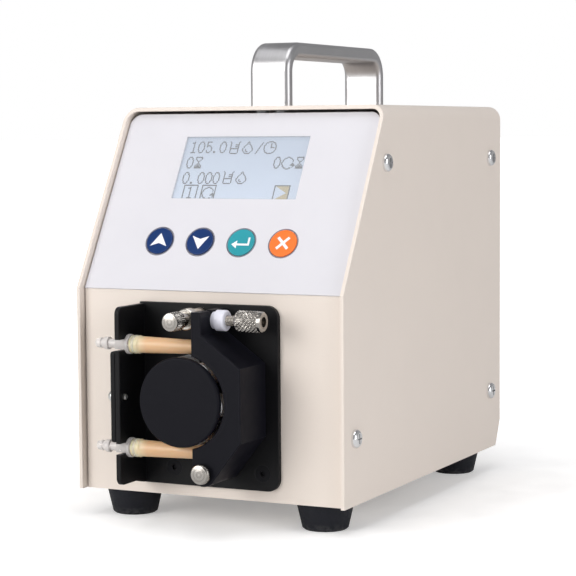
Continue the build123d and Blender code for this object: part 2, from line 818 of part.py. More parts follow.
flange_inside = -plate_left + plate_sheet
for name, rise in (("connector_outlet", tube_circle), ("connector_inlet", -tube_circle)):
    along = Plane((0, tube_y, rotor_z + rise), x_dir=(1, 0, 0), z_dir=(0, -1, 0))
    with BuildPart() as connector:
        with BuildSketch(along):
            with BuildLine():
                Polyline(
                    (-barb_reach, duct_radius),
                    (-barb_reach, duct_radius + 0.7),
                    (-barb_reach + 3, 2.5),
                    (-barb_reach + 3, barb_neck),
                    (-barb_reach + 3.6, barb_neck),
                    (-barb_reach + 5, barb_radius),
                    (-barb_reach + 5 + barb_land, barb_radius),
                    (-barb_reach + 5 + barb_land, barb_neck),
                    (-plate_left - 3.5, barb_neck),
                    (-plate_left - 3.5, shoulder_side / 2),
                    (flange_inside + seat, shoulder_side / 2),
                    (flange_inside + seat, collar_radius),
                    (flange_inside + seat + collar_sheet, collar_radius),
                    (flange_inside + seat + collar_sheet, tube_bore),
                    (flange_inside + seat + 9, tube_bore),
                    (flange_inside + seat + 10, tube_bore - 0.5),
                    (flange_inside + seat + 10, duct_radius),
                    close=True,
                )
            make_face()
        revolve(axis=Axis((0, tube_y, rotor_z + rise), (1, 0, 0)))
        with BuildSketch(Plane((-plate_left - 3.5, tube_y, rotor_z + rise), z_dir=(1, 0, 0))):
            Rectangle(shoulder_side, shoulder_side)
            Circle(duct_radius, mode=Mode.SUBTRACT)
        extrude(amount=plate_sheet + 3.5 + seat)
    save(connector.part, name)

with BuildPart() as tube_bands:
    for rise in (-tube_circle, tube_circle):
        with BuildSketch(Plane((-tube_end + 2.5, tube_y, rotor_z + rise), z_dir=(1, 0, 0))):
            Circle(band_radius)
            Circle(tube_radius + running, mode=Mode.SUBTRACT)
        extrude(amount=band_width)
save(tube_bands.part, "tube_bands")

# ---------------------------------------------------------------- clamp

bush_swing = bush_start - latch_x - moving / 2  # the arm's top corner stays inside the bush's swing
with BuildPart() as clamp_block:
    with BuildSketch(head(0.5)):
        with BuildLine():
            Polyline(
                (arm_left, pivot_z),
                (arm_left, rotor_z + arm_top),
                (latch_x + sqrt(bush_swing**2 - (arm_top - latch_rise) ** 2), rotor_z + arm_top),
                (arm_right, latch_z + sqrt(bush_swing**2 - (arm_right - latch_x) ** 2)),
                (arm_right, rotor_z + slope_top),
                (clamp_right, rotor_z + slope_bottom),
                (clamp_right, rotor_z + clamp_low),
                (pivot_x + pivot_boss * 0.8, pivot_z - pivot_boss * 0.6),
                (pivot_x, pivot_z),
                close=True,
            )
        make_face()
        with Locations((pivot_x, pivot_z)):
            Circle(pivot_boss)
            Circle(pivot_radius + running, mode=Mode.SUBTRACT)
        with Locations((0, rotor_z)):
            Circle(lip_radius, mode=Mode.SUBTRACT)
    extrude(amount=clamp_depth)
    with BuildSketch(head(0.5)):
        with Locations((0, rotor_z)):
            Circle(track_radius)
    extrude(amount=clamp_depth - clamp_lip, mode=Mode.SUBTRACT)
    clamp_front = clamp_block.faces().sort_by(Axis.Y)[0]
    chamfer(clamp_front.edges(), clamp_edge)
    # fork slot for the latch bolt, open at the top
    slot_low = latch_z - latch_rod_radius - moving
    with BuildSketch(Plane.YZ.offset(arm_left - 1)):
        with Locations((plate_y - latch_depth, slot_low)):
            Rectangle(
                2 * (latch_rod_radius + moving),
                rotor_z + arm_top - slot_low + 1,
                align=(Align.CENTER, Align.MIN),
            )
    extrude(amount=arm_right - arm_left + 2, mode=Mode.SUBTRACT)
save(clamp_block.part, "clamp_block")

with BuildPart() as pivot_screw:
    with Locations(Plane((pivot_x, plate_y - 0.5 - clamp_depth - moving, pivot_z), z_dir=(0, -1, 0))):
        Cylinder(pivot_head_radius, pivot_head_height, align=(Align.CENTER, Align.CENTER, Align.MIN))
        Cylinder(
            pivot_radius,
            clamp_depth + moving + 0.5 + plate_sheet + chassis_sheet + seat + bracket_sheet,
            align=(Align.CENTER, Align.CENTER, Align.MAX),
        )
    chamfer(pivot_screw.faces().sort_by(Axis.Y)[0].edges(), 0.4)
save(pivot_screw.part, "pivot_screw")

# ---------------------------------------------------------------- latch

eye_back = latch_depth - eye_sheet / 2
with BuildPart() as latch_spacer:
    with BuildSketch(head(0)):
        with Locations((latch_x, latch_z)):
            Circle(eye_radius - 0.6)
            Circle(latch_screw_radius + running, mode=Mode.SUBTRACT)
    extrude(amount=eye_back - moving)
save(latch_spacer.part, "latch_spacer")

with BuildPart() as latch_screw:
    neck_back = latch_depth + eye_sheet / 2 + moving
    with Locations(Plane((latch_x, plate_y - neck_back, latch_z), z_dir=(0, -1, 0))):
        Cylinder(latch_neck_radius, latch_neck_length, align=(Align.CENTER, Align.CENTER, Align.MIN))
        with Locations((0, 0, latch_neck_length)):
            Cylinder(
                latch_knob_radius, latch_knob_length, align=(Align.CENTER, Align.CENTER, Align.MIN)
            )
        Cylinder(
            latch_screw_radius,
            neck_back + plate_sheet + chassis_sheet + seat + bracket_sheet,
            align=(Align.CENTER, Align.CENTER, Align.MAX),
        )
    chamfer(latch_screw.faces().sort_by(Axis.Y)[0].edges(), 0.4)
save(latch_screw.part, "latch_screw")

with BuildPart() as latch_bolt:
    with BuildSketch(head(eye_back)):
        with Locations((latch_x, latch_z)):
            Circle(eye_radius)
    extrude(amount=eye_sheet)
    with BuildSketch(Plane((latch_x, plate_y - latch_depth, latch_z), z_dir=(1, 0, 0))):
        Circle(latch_rod_radius)
    extrude(amount=latch_rod_end - latch_x)
    chamfer(latch_bolt.faces().sort_by(Axis.X)[-1].edges(), 0.5)
    with BuildSketch(head(0)):
        with Locations((latch_x, latch_z)):
            Circle(latch_screw_radius + running)
    extrude(amount=latch_depth + eye_sheet, mode=Mode.SUBTRACT)
save(latch_bolt.part, "latch_bolt")


def latch_plane(x):
    """Plane across the latch bolt at x, looking along +X."""
    return Plane((x, plate_y - latch_depth, latch_z), z_dir=(1, 0, 0))


with BuildPart() as latch_bush:
    with BuildSketch(latch_plane(bush_start)):
        Circle(bush_small_radius)
    extrude(amount=bush_small_length)
    with BuildSketch(latch_plane(bush_start + bush_small_length)):
        Circle(bush_radius)
    extrude(amount=bush_length)
    fillet(latch_bush.faces().sort_by(Axis.X)[-1].edges(), 0.8)
    with BuildSketch(latch_plane(bush_start)):
        Circle(latch_rod_radius + running)
    extrude(amount=bush_small_length + bush_length, mode=Mode.SUBTRACT)
save(latch_bush.part, "latch_bush")

with BuildPart() as latch_nut:
    with BuildSketch(latch_plane(nut_start)):
        Circle(nut_radius)
    extrude(amount=nut_length)
    chamfer(latch_nut.edges(), 0.6)
    with BuildSketch(latch_plane(nut_start)):
        Circle(latch_rod_radius + running)
    extrude(amount=latch_rod_end - nut_start + moving, mode=Mode.SUBTRACT)
save(latch_nut.part, "latch_nut")

# ---------------------------------------------------------------- back panel fittings

with BuildPart() as power_inlet:
    with BuildSketch(facing(rear_y)) as flange_face:
        with Locations((inlet_x, switch_z)):
            Rectangle(inlet_flange_width, inlet_flange_tall)
        chamfer(flange_face.vertices(), 4)
    extrude(amount=-3)
    with BuildSketch(facing(rear_y)):
        with Locations((inlet_x, switch_z)):
            Rectangle(inlet_width, inlet_tall)
    extrude(amount=inlet_depth)
    with BuildSketch(facing(rear_y + 3)) as socket:
        with Locations((inlet_x, switch_z)):
            Rectangle(socket_width, socket_tall)
        chamfer(socket.vertices().group_by(Axis.Y)[-1], 4.5)
    extrude(amount=socket_depth, mode=Mode.SUBTRACT)
    for dx in (-inlet_screw_spacing / 2, inlet_screw_spacing / 2):
        with Locations(Plane((inlet_x + dx, rear_y + 3, switch_z), z_dir=(0, 1, 0))):
            Hole(1.6, 3)
save(power_inlet.part, "power_inlet")

with BuildPart() as inlet_pins:
    with BuildSketch(facing(rear_y + 3 - socket_depth)):
        for dx, dz in ((-7, -2), (7, -2), (0, 2.2)):
            with Locations((inlet_x + dx, switch_z + dz)):
                Rectangle(2, 4)
    extrude(amount=-(socket_depth - 5))
save(inlet_pins.part, "inlet_pins")

rear_screw_part = screw(2.8, 2, 1.6, 1.5, 8)
with BuildPart() as rear_screws:
    for dx in (-inlet_screw_spacing / 2, inlet_screw_spacing / 2):
        with Locations(Plane((inlet_x + dx, rear_y + 3, switch_z), z_dir=(0, 1, 0))):
            add(rear_screw_part)
save(rear_screws.part, "rear_screws")

rocker_pivot = rear_y - 3.5
rocker_pin_reach = (switch_tall - 3) / 2 + 1
with BuildPart() as switch_frame:
    with BuildSketch(facing(rear_y)):
        with Locations((switch_x, switch_z)):
            Rectangle(switch_width + 2, switch_tall + 2)
            Rectangle(switch_width - 3, switch_tall - 3, mode=Mode.SUBTRACT)
    extrude(amount=-1.6)
    with BuildSketch(facing(rear_y)):
        with Locations((switch_x, switch_z)):
            Rectangle(switch_width, switch_tall)
            Rectangle(switch_width - 3, switch_tall - 3, mode=Mode.SUBTRACT)
    extrude(amount=14)
    with BuildSketch(facing(rear_y - 14)):
        with Locations((switch_x, switch_z)):
            Rectangle(switch_width, switch_tall)
    extrude(amount=4)
    with BuildSketch(Plane.XY.offset(switch_z)):
        with Locations((switch_x, rocker_pivot)):
            Circle(rocker_pin_radius + running)
    extrude(amount=rocker_pin_reach + seat, both=True, mode=Mode.SUBTRACT)
save(switch_frame.part, "switch_frame")

rocker_half = (switch_width - 3) / 2 - moving
rocker_plane = Plane(
    origin=(switch_x, rocker_pivot, switch_z),
    x_dir=(cos(rocker_rest), sin(rocker_rest), 0),
    z_dir=(0, 0, 1),
)
with BuildPart() as power_rocker:
    with BuildSketch(rocker_plane):
        with BuildLine():
            Polyline(
                (-rocker_half + 0.5, 0),
                (-rocker_half + 0.9, 4.8),
                (0, 4),
                (rocker_half - 0.9, 4.8),
                (rocker_half - 0.5, 0),
                (0, -3),
                close=True,
            )
        make_face()
    extrude(amount=(switch_tall - 3) / 2 - moving, both=True)
    with BuildSketch(Plane.XY.offset(switch_z)):
        with Locations((switch_x, rocker_pivot)):
            Circle(rocker_pin_radius)
    extrude(amount=rocker_pin_reach, both=True)
save(power_rocker.part, "power_rocker")

with BuildPart() as control_port:
    with BuildSketch(facing(rear_y)) as port_face:
        with Locations((port_x, port_z)):
            Rectangle(port_width, port_tall)
        fillet(port_face.vertices(), 1.5)
        with Locations((port_x, port_z)):
            with GridLocations(port_width - 6, 0, 2, 1):
                Circle(1.6, mode=Mode.SUBTRACT)
    extrude(amount=-1)
    with BuildSketch(facing(rear_y)) as port_shell:
        with Locations((port_x, port_z)):
            Trapezoid(port_width - 15, port_tall - 4.5, 80, rotation=180)
        fillet(port_shell.vertices(), 1.5)
    extrude(amount=-5.5)
    with BuildSketch(facing(rear_y + 5.5)):
        with Locations(*[(port_x + (n - 3.5) * 2.4, port_z + 1.4) for n in range(8)]):
            Circle(0.6)
        with Locations(*[(port_x + (n - 3) * 2.4, port_z - 1.4) for n in range(7)]):
            Circle(0.6)
    extrude(amount=4, mode=Mode.SUBTRACT)
    with BuildSketch(facing(rear_y)):
        with Locations((port_x, port_z)):
            Rectangle(port_width - 15, port_tall - 4)
    extrude(amount=10)
save(control_port.part, "control_port")

with BuildPart() as port_posts:
    with BuildSketch(facing(rear_y + 1 + seat)):
        with Locations((port_x, port_z)):
            with GridLocations(port_width - 6, 0, 2, 1):
                RegularPolygon(2.8, 6)
    extrude(amount=-4.5)
    with BuildSketch(facing(rear_y + 1 + seat)):
        with Locations((port_x, port_z)):
            with GridLocations(port_width - 6, 0, 2, 1):
                Circle(1.5)
    extrude(amount=6)
save(port_posts.part, "port_posts")

# ---------------------------------------------------------------- power supply on the floor

supply_y = front_y + case_depth - 66
with BuildPart() as supply_spacers:
    with BuildSketch(Plane.XY.offset(base + chassis_sheet)):
        with Locations((0, supply_y)):
            with GridLocations(80, 60, 2, 2):
                Circle(3)
    extrude(amount=6)
save(supply_spacers.part, "supply_spacers")

with BuildPart() as power_supply:
    with BuildSketch(Plane.XY.offset(base + chassis_sheet + 6 + seat)):
        with Locations((0, supply_y)):
            Rectangle(90, 70)
    extrude(amount=1.6)
    with BuildSketch(Plane.XY.offset(base + chassis_sheet + 7.6 + seat)):
        with Locations((-24, supply_y - 8)):
            Rectangle(26, 30)
        with Locations((12, supply_y - 18)):
            Rectangle(18, 16)
    extrude(amount=22)
    with BuildSketch(Plane.XY.offset(base + chassis_sheet + 7.6 + seat)):
        with Locations((12, supply_y + 12), (26, supply_y + 2), (30, supply_y - 20)):
            Circle(6)
    extrude(amount=20)
save(power_supply.part, "power_supply")
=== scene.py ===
import json
from math import atan2, ceil, cos, floor, pi, radians, sin

import bmesh
import bpy
from mathutils import Matrix, Vector


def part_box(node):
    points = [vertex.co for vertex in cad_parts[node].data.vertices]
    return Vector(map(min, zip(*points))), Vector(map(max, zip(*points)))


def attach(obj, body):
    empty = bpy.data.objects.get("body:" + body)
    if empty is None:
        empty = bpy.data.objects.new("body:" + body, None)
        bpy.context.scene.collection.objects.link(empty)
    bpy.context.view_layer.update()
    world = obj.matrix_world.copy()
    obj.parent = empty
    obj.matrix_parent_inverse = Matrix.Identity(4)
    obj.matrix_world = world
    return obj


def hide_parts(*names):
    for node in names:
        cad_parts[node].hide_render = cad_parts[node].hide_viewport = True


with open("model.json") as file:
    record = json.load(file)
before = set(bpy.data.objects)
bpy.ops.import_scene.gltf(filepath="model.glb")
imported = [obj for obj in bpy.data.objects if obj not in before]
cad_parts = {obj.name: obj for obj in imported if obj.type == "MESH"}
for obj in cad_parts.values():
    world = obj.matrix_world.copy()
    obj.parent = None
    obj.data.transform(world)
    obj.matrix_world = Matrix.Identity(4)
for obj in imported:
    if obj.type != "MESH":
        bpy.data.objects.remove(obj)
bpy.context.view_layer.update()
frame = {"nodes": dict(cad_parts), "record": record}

nodes = frame["nodes"]
mm = 0.001

# ------------------------------------------------------------------ places on the pump

SLOPE_RUN = 50.5
SLOPE_RISE = 87
SLANT = atan2(SLOPE_RUN, SLOPE_RISE)
SLOPE_START = Vector((0, -86.35, 110.92)) * mm
SLOPE_UP = Vector((0, sin(SLANT), cos(SLANT)))
SLOPE_OUT = Vector((0, -cos(SLANT), sin(SLANT)))
WINDOW_MIDDLE = 67.2
WINDOW_WIDTH = 67
WINDOW_HEIGHT = 34.3
CELL_WIDTH = 0.523
CELL_RISE = 0.464
KEY_ROW = 26.5
KEY_FACE = 1.3
KEY_PLACES = {"key_up": -33.55, "key_down": -11.45, "key_enter": 10.65, "key_escape": 32.75}


def on_slope(across, up, out):
    """A point of the slanted keypad panel, from millimetres across, up and out of its sheet."""
    return SLOPE_START + Vector((across * mm, 0, 0)) + SLOPE_UP * up * mm + SLOPE_OUT * out * mm


def middle(node):
    """The middle of a CAD node's box."""
    low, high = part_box(node)
    return (low + high) / 2


# ------------------------------------------------------------------ shader helpers


def new_group(name, inputs, outputs):
    """An empty node group with named sockets, and its first and last nodes."""
    group = bpy.data.node_groups.new(name, "ShaderNodeTree")
    for label, kind, value in inputs:
        socket = group.interface.new_socket(label, in_out="INPUT", socket_type="NodeSocket" + kind)
        socket.default_value = value
    for label, kind in outputs:
        group.interface.new_socket(label, in_out="OUTPUT", socket_type="NodeSocket" + kind)
    return group, group.nodes.new("NodeGroupInput"), group.nodes.new("NodeGroupOutput")


def add(tree, kind, links=None, **settings):
    """A node with its settings; links gives each input a socket to join or a value to hold."""
    node = tree.nodes.new("ShaderNode" + kind)
    for key, value in settings.items():
        setattr(node, key, value)
    for key, value in (links or {}).items():
        if isinstance(value, bpy.types.NodeSocket):
            tree.links.new(value, node.inputs[key])
        else:
            node.inputs[key].default_value = value
    return node


def maths(tree, operation, first, second=0.0, third=0.0, clamp=False):
    """One Math node, and its result."""
    node = add(tree, "Math", {0: first, 1: second, 2: third}, operation=operation, use_clamp=clamp)
    return node.outputs[0]


def blend_colours(tree, factor, first, second, mode="MIX"):
    """A colour mix, and its result."""
    node = add(tree, "Mix", {0: factor, 6: first, 7: second}, data_type="RGBA", blend_type=mode)
    return node.outputs[2]


def grey(tree, level):
    """A grey colour of the given level."""
    return add(tree, "CombineColor", {0: level, 1: level, 2: level}).outputs[0]


def shaded(tree, colour, level):
    """A colour made lighter or darker by a level round 1."""
    return blend_colours(tree, 1.0, colour, grey(tree, level), "MULTIPLY")


def spread(tree, value, low, high, to_low=0.0, to_high=1.0):
    """A value stretched from one range to another, held inside it."""
    node = add(tree, "MapRange", {0: value, 1: low, 2: high, 3: to_low, 4: to_high})
    return node.outputs[0]


def noise(tree, where, scale, detail=2.0, rough=0.5):
    """Noise of a scale in turns per metre, and its value."""
    links = {"Vector": where, "Scale": scale, "Detail": detail, "Roughness": rough}
    return add(tree, "TexNoise", links).outputs["Fac"]


def place_group(tree, group, **links):
    """A group node in a material; underscores in a link's name stand for spaces."""
    node = tree.nodes.new("ShaderNodeGroup")
    node.node_tree = group
    for key, value in links.items():
        socket = node.inputs[key.replace("_", " ")]
        if isinstance(value, bpy.types.NodeSocket):
            tree.links.new(value, socket)
        else:
            socket.default_value = value
    return node.outputs


def give_out(tree, last, **results):
    """Joins a group's results to its output sockets."""
    for label, value in results.items():
        tree.links.new(value, last.inputs[label])


# ------------------------------------------------------------------ shared surface effects


def make_powder_coat_texture():
    """Baked powder paint: a fine orange-peel surface with faint cloudiness in the colour."""
    tree, first, last = new_group(
        "Powder coat texture",
        [("Paint", "Color", (1, 1, 1, 1)), ("Grain size", "Float", 1100.0), ("Clouding", "Float", 0.03)],
        [("Colour", "Color"), ("Roughness", "Float"), ("Height", "Float")],
    )
    where = add(tree, "TexCoord").outputs["Object"]
    grain = noise(tree, where, first.outputs["Grain size"], 3.0)
    pinholes = noise(tree, where, 2600.0, 1.0)
    clouds = noise(tree, where, 22.0, 4.0, 0.6)
    amount = maths(tree, "MULTIPLY_ADD", maths(tree, "SUBTRACT", clouds, 0.5), first.outputs["Clouding"], 0.0)
    fleck = maths(tree, "MULTIPLY", maths(tree, "SUBTRACT", grain, 0.5), 0.035)
    level = maths(tree, "ADD", maths(tree, "ADD", amount, fleck), 1.0)
    give_out(
        tree,
        last,
        Colour=shaded(tree, first.outputs["Paint"], level),
        Roughness=spread(tree, grain, 0.3, 0.7, 0.42, 0.56),
        Height=maths(tree, "MULTIPLY_ADD", pinholes, 0.4, grain),
    )
    return tree


def make_worn_and_highlit_edges():
    """Lighter corners and edges: partly wear where handling has thinned or polished the finish, partly a
    painted edge highlight that also lights inner corners.
    """
    tree, first, last = new_group(
        "Rubbed edges",
        [
            ("Finish", "Color", (1, 1, 1, 1)),
            ("Rubbed", "Color", (1, 1, 1, 1)),
            ("Width", "Float", 0.0006),
            ("Amount", "Float", 0.5),
        ],
        [("Colour", "Color"), ("Mask", "Float")],
    )
    # Painted edge highlight and wear: every edge the bevel normal finds, outer or inner, takes the lighter
    # colour.
    rounded = add(tree, "Bevel", {"Radius": first.outputs["Width"]}, samples=4).outputs["Normal"]
    true = add(tree, "NewGeometry").outputs["Normal"]
    same = add(tree, "VectorMath", {0: rounded, 1: true}, operation="DOT_PRODUCT").outputs["Value"]
    corner = spread(tree, same, 0.985, 0.86)
    where = add(tree, "TexCoord").outputs["Object"]
    patchy = spread(tree, noise(tree, where, 260.0, 4.0, 0.65), 0.38, 0.62, 0.25, 1.0)
    mask = maths(tree, "MULTIPLY", maths(tree, "MULTIPLY", corner, patchy), first.outputs["Amount"])
    mixed = blend_colours(tree, mask, first.outputs["Finish"], first.outputs["Rubbed"])
    give_out(tree, last, Colour=mixed, Mask=mask)
    return tree


def make_settled_dust():
    """A thin film of dust on the faces that look up."""
    tree, first, last = new_group(
        "Settled dust",
        [
            ("Surface", "Color", (1, 1, 1, 1)),
            ("Dust", "Color", (0.62, 0.6, 0.57, 1)),
            ("Amount", "Float", 0.1),
        ],
        [("Colour", "Color"), ("Mask", "Float")],
    )
    normal = add(tree, "NewGeometry").outputs["Normal"]
    up = add(tree, "SeparateXYZ", {0: normal}).outputs["Z"]
    where = add(tree, "TexCoord").outputs["Object"]
    specks = noise(tree, where, 420.0, 5.0, 0.7)
    lying = maths(tree, "MULTIPLY", spread(tree, up, 0.2, 0.95), spread(tree, specks, 0.35, 0.7, 0.2, 1.0))
    mask = maths(tree, "MULTIPLY", lying, first.outputs["Amount"])
    dusty = blend_colours(tree, mask, first.outputs["Surface"], first.outputs["Dust"])
    give_out(tree, last, Colour=dusty, Mask=mask)
    return tree


def make_brushed_lines():
    """Fine parallel scratches; Stretch is how fast they change along X, Y and Z."""
    tree, first, last = new_group(
        "Brushed lines",
        [
            ("Metal", "Color", (1, 1, 1, 1)),
            ("Stretch", "Vector", (4000.0, 4000.0, 60.0)),
            ("Depth", "Float", 0.06),
            ("Base roughness", "Float", 0.3),
        ],
        [("Colour", "Color"), ("Roughness", "Float"), ("Height", "Float")],
    )
    where = add(tree, "TexCoord").outputs["Object"]
    links = {0: where, 1: first.outputs["Stretch"]}
    drawn = add(tree, "VectorMath", links, operation="MULTIPLY").outputs["Vector"]
    lines = noise(tree, drawn, 1.0, 3.0, 0.6)
    long_lines = noise(tree, drawn, 0.23, 2.0)
    both = maths(tree, "MULTIPLY_ADD", long_lines, 0.6, maths(tree, "MULTIPLY", lines, 0.4))
    change = maths(tree, "MULTIPLY", maths(tree, "SUBTRACT", both, 0.5), first.outputs["Depth"])
    level = maths(tree, "ADD", change, 1.0)
    metal = shaded(tree, first.outputs["Metal"], level)
    rough = maths(tree, "MULTIPLY_ADD", change, 1.2, first.outputs["Base roughness"])
    give_out(tree, last, Colour=metal, Roughness=rough, Height=both)
    return tree


def make_turned_rings():
    """Rings cut by a lathe round an axis through Centre; Across is 1 on the two axes they lie in."""
    tree, first, last = new_group(
        "Turned rings",
        [
            ("Metal", "Color", (1, 1, 1, 1)),
            ("Centre", "Vector", (0.0, 0.0, 0.0)),
            ("Across", "Vector", (1.0, 0.0, 1.0)),
            ("Rings per metre", "Float", 5000.0),
            ("Base roughness", "Float", 0.22),
        ],
        [("Colour", "Color"), ("Roughness", "Float"), ("Height", "Float")],
    )
    where = add(tree, "TexCoord").outputs["Object"]
    away = add(tree, "VectorMath", {0: where, 1: first.outputs["Centre"]}, operation="SUBTRACT").outputs[0]
    flat = add(tree, "VectorMath", {0: away, 1: first.outputs["Across"]}, operation="MULTIPLY").outputs[0]
    radius = add(tree, "VectorMath", {0: flat}, operation="LENGTH").outputs["Value"]
    turns = maths(tree, "MULTIPLY", radius, first.outputs["Rings per metre"])
    links = {"W": turns, "Scale": 1.0, "Detail": 2.0}
    rings = add(tree, "TexNoise", links, noise_dimensions="1D").outputs["Fac"]
    waves = maths(tree, "SINE", maths(tree, "MULTIPLY", turns, 0.9))
    both = maths(tree, "MULTIPLY_ADD", waves, 0.12, rings)
    level = spread(tree, both, 0.2, 0.8, 0.66, 1.12)
    metal = shaded(tree, first.outputs["Metal"], level)
    swing = maths(tree, "MULTIPLY", maths(tree, "SUBTRACT", both, 0.5), 0.22)
    give_out(
        tree,
        last,
        Colour=metal,
        Roughness=maths(tree, "ADD", swing, first.outputs["Base roughness"]),
        Height=both,
    )
    return tree


def make_handling_marks():
    """Faint smudges that change how glossy a surface is."""
    tree, first, last = new_group(
        "Handling marks",
        [("Base roughness", "Float", 0.15), ("Smudge", "Float", 0.15), ("Size", "Float", 60.0)],
        [("Roughness", "Float"), ("Mask", "Float")],
    )
    where = add(tree, "TexCoord").outputs["Object"]
    wide = noise(tree, where, first.outputs["Size"], 5.0, 0.62)
    fine = noise(tree, where, 900.0, 2.0)
    mask = maths(tree, "MULTIPLY", spread(tree, wide, 0.42, 0.68), spread(tree, fine, 0.2, 0.8, 0.6, 1.0))
    rough = maths(tree, "MULTIPLY_ADD", mask, first.outputs["Smudge"], first.outputs["Base roughness"])
    give_out(tree, last, Roughness=rough, Mask=mask)
    return tree


def make_moulded_skin():
    """The fine sparked texture and slight shade changes of moulded plastic or rubber."""
    tree, first, last = new_group(
        "Moulded skin",
        [
            ("Plastic", "Color", (1, 1, 1, 1)),
            ("Texture size", "Float", 1800.0),
            ("Base roughness", "Float", 0.4),
            ("Shade change", "Float", 0.06),
        ],
        [("Colour", "Color"), ("Roughness", "Float"), ("Height", "Float")],
    )
    where = add(tree, "TexCoord").outputs["Object"]
    skin = noise(tree, where, first.outputs["Texture size"], 2.0)
    flow = noise(tree, where, 45.0, 3.0)
    swirl = maths(tree, "MULTIPLY", spread(tree, flow, 0.3, 0.7, -1.0, 1.0), first.outputs["Shade change"])
    level = maths(tree, "ADD", swirl, 1.0)
    plastic = shaded(tree, first.outputs["Plastic"], level)
    swing = maths(tree, "MULTIPLY", maths(tree, "SUBTRACT", skin, 0.5), 0.3)
    give_out(
        tree,
        last,
        Colour=plastic,
        Roughness=maths(tree, "ADD", swing, first.outputs["Base roughness"]),
        Height=skin,
    )
    return tree


powder_coat_texture = make_powder_coat_texture()
worn_and_highlit_edges = make_worn_and_highlit_edges()
settled_dust = make_settled_dust()
brushed_lines = make_brushed_lines()
turned_rings = make_turned_rings()
handling_marks = make_handling_marks()
moulded_skin = make_moulded_skin()

# ------------------------------------------------------------------ materials


def new_material(name, **settings):
    """A material with one Principled shader, whose plain settings are given by socket name."""
    material = bpy.data.materials.new(name)
    material.use_nodes = True
    tree = material.node_tree
    shader = tree.nodes["Principled BSDF"]
    for key, value in settings.items():
        shader.inputs[key.replace("_", " ")].default_value = value
    return material, tree, shader


def join(tree, shader, colour=None, roughness=None, relief=None, emission=None):
    """Joins outputs to the shader's inputs; relief is a height, its strength and its distance."""
    for output, label in ((colour, "Base Color"), (roughness, "Roughness"), (emission, "Emission Color")):
        if output is not None:
            tree.links.new(output, shader.inputs[label])
    if relief is not None:
        height, strength, distance = relief
        bump = add(tree, "Bump", {"Height": height, "Strength": strength, "Distance": distance})
        tree.links.new(bump.outputs[0], shader.inputs["Normal"])


def edge_wear_and_highlight(tree, finish, rubbed, width, amount):
    """A finish whose corners show a lighter colour, partly wear and partly a painted edge highlight."""
    return place_group(tree, worn_and_highlit_edges, Finish=finish, Rubbed=rubbed, Width=width, Amount=amount)["Colour"]


def smudges(tree, roughness, smudge, size):
    """Handling marks on a surface of the given roughness."""
    return place_group(tree, handling_marks, Base_roughness=roughness, Smudge=smudge, Size=size)


def moulded(tree, plastic, texture=1800.0, roughness=0.4, shade=0.06):
    """Moulded skin in a colour."""
    links = {"Plastic": plastic, "Texture_size": texture, "Base_roughness": roughness, "Shade_change": shade}
    return place_group(tree, moulded_skin, **links)


def brushed(tree, metal, stretch, depth, roughness):
    """Brushed lines in a metal."""
    links = {"Metal": metal, "Stretch": stretch, "Depth": depth, "Base_roughness": roughness}
    return place_group(tree, brushed_lines, **links)


def make_case_paint():
    """Cream powder coat of the case."""
    material, tree, shader = new_material("Cream powder coat")
    coat = place_group(tree, powder_coat_texture, Paint=(0.80, 0.715, 0.645, 1), Clouding=0.05)
    # Lighter edge colour: partly wear, partly painted edge highlight.
    edge = edge_wear_and_highlight(tree, coat["Colour"], (0.88, 0.82, 0.75, 1), 0.0007, 0.5)
    dust = place_group(tree, settled_dust, Surface=edge, Dust=(0.74, 0.71, 0.67, 1), Amount=0.18)
    shader.inputs["Coat Weight"].default_value = 0.05
    join(tree, shader, dust["Colour"], coat["Roughness"], (coat["Height"], 0.18, 0.0002))
    return material


def make_overlay_film():
    """Printed polyester sheet of the keypad, cool white with a satin face."""
    material, tree, shader = new_material("Satin overlay film")
    skin = moulded(tree, (0.69, 0.68, 0.72, 1), 2600.0, shade=0.012)
    marks = smudges(tree, 0.34, 0.12, 35.0)
    join(tree, shader, skin["Colour"], marks["Roughness"], (skin["Height"], 0.05, 0.0001))
    return material


def make_display_window():
    """Clear hard-coated window over the display."""
    material, tree, shader = new_material("Clear display window", Alpha=0.16)
    shader.inputs["Base Color"].default_value = (0.9, 0.93, 0.96, 1)
    shader.inputs["IOR"].default_value = 1.49
    marks = smudges(tree, 0.06, 0.16, 50.0)
    join(tree, shader, roughness=marks["Roughness"])
    return material


def make_display_panel():
    """Backlit grey-blue panel, a little brighter at its lower edge, with a faint grid of cells."""
    material, tree, shader = new_material("Backlit display panel", Roughness=0.4)
    where = add(tree, "TexCoord").outputs["Object"]
    height = add(tree, "SeparateXYZ", {0: where}).outputs["Z"]
    across = add(tree, "SeparateXYZ", {0: where}).outputs["X"]
    low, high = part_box("display_window")
    rise = spread(tree, height, low.z, high.z)
    clouds = noise(tree, where, 30.0, 3.0)
    shade = maths(tree, "MULTIPLY_ADD", clouds, 0.25, maths(tree, "MULTIPLY", rise, 0.8))
    colour = blend_colours(tree, shade, (0.40, 0.46, 0.56, 1), (0.28, 0.33, 0.42, 1))
    cells = maths(tree, "SINE", maths(tree, "MULTIPLY", across, 2 * pi / (CELL_WIDTH * mm)))
    lines = maths(tree, "SINE", maths(tree, "MULTIPLY", height, 2 * pi / (CELL_RISE * mm)))
    grid = spread(tree, maths(tree, "MAXIMUM", cells, lines), 0.86, 1.0, 1.0, 0.96)
    lit = shaded(tree, colour, grid)
    shader.inputs["Emission Strength"].default_value = 0.4
    join(tree, shader, lit, emission=lit)
    return material


def make_display_ink():
    """Dark slate cells of the display."""
    material, tree, shader = new_material("Dark display cells")
    skin = moulded(tree, (0.012, 0.014, 0.022, 1), roughness=0.42)
    join(tree, shader, skin["Colour"], skin["Roughness"])
    return material


def make_display_gold():
    """Muted gold cells behind the run symbol."""
    material, tree, shader = new_material("Muted gold display cells")
    skin = moulded(tree, (0.40, 0.33, 0.16, 1), roughness=0.42)
    join(tree, shader, skin["Colour"], skin["Roughness"])
    return material


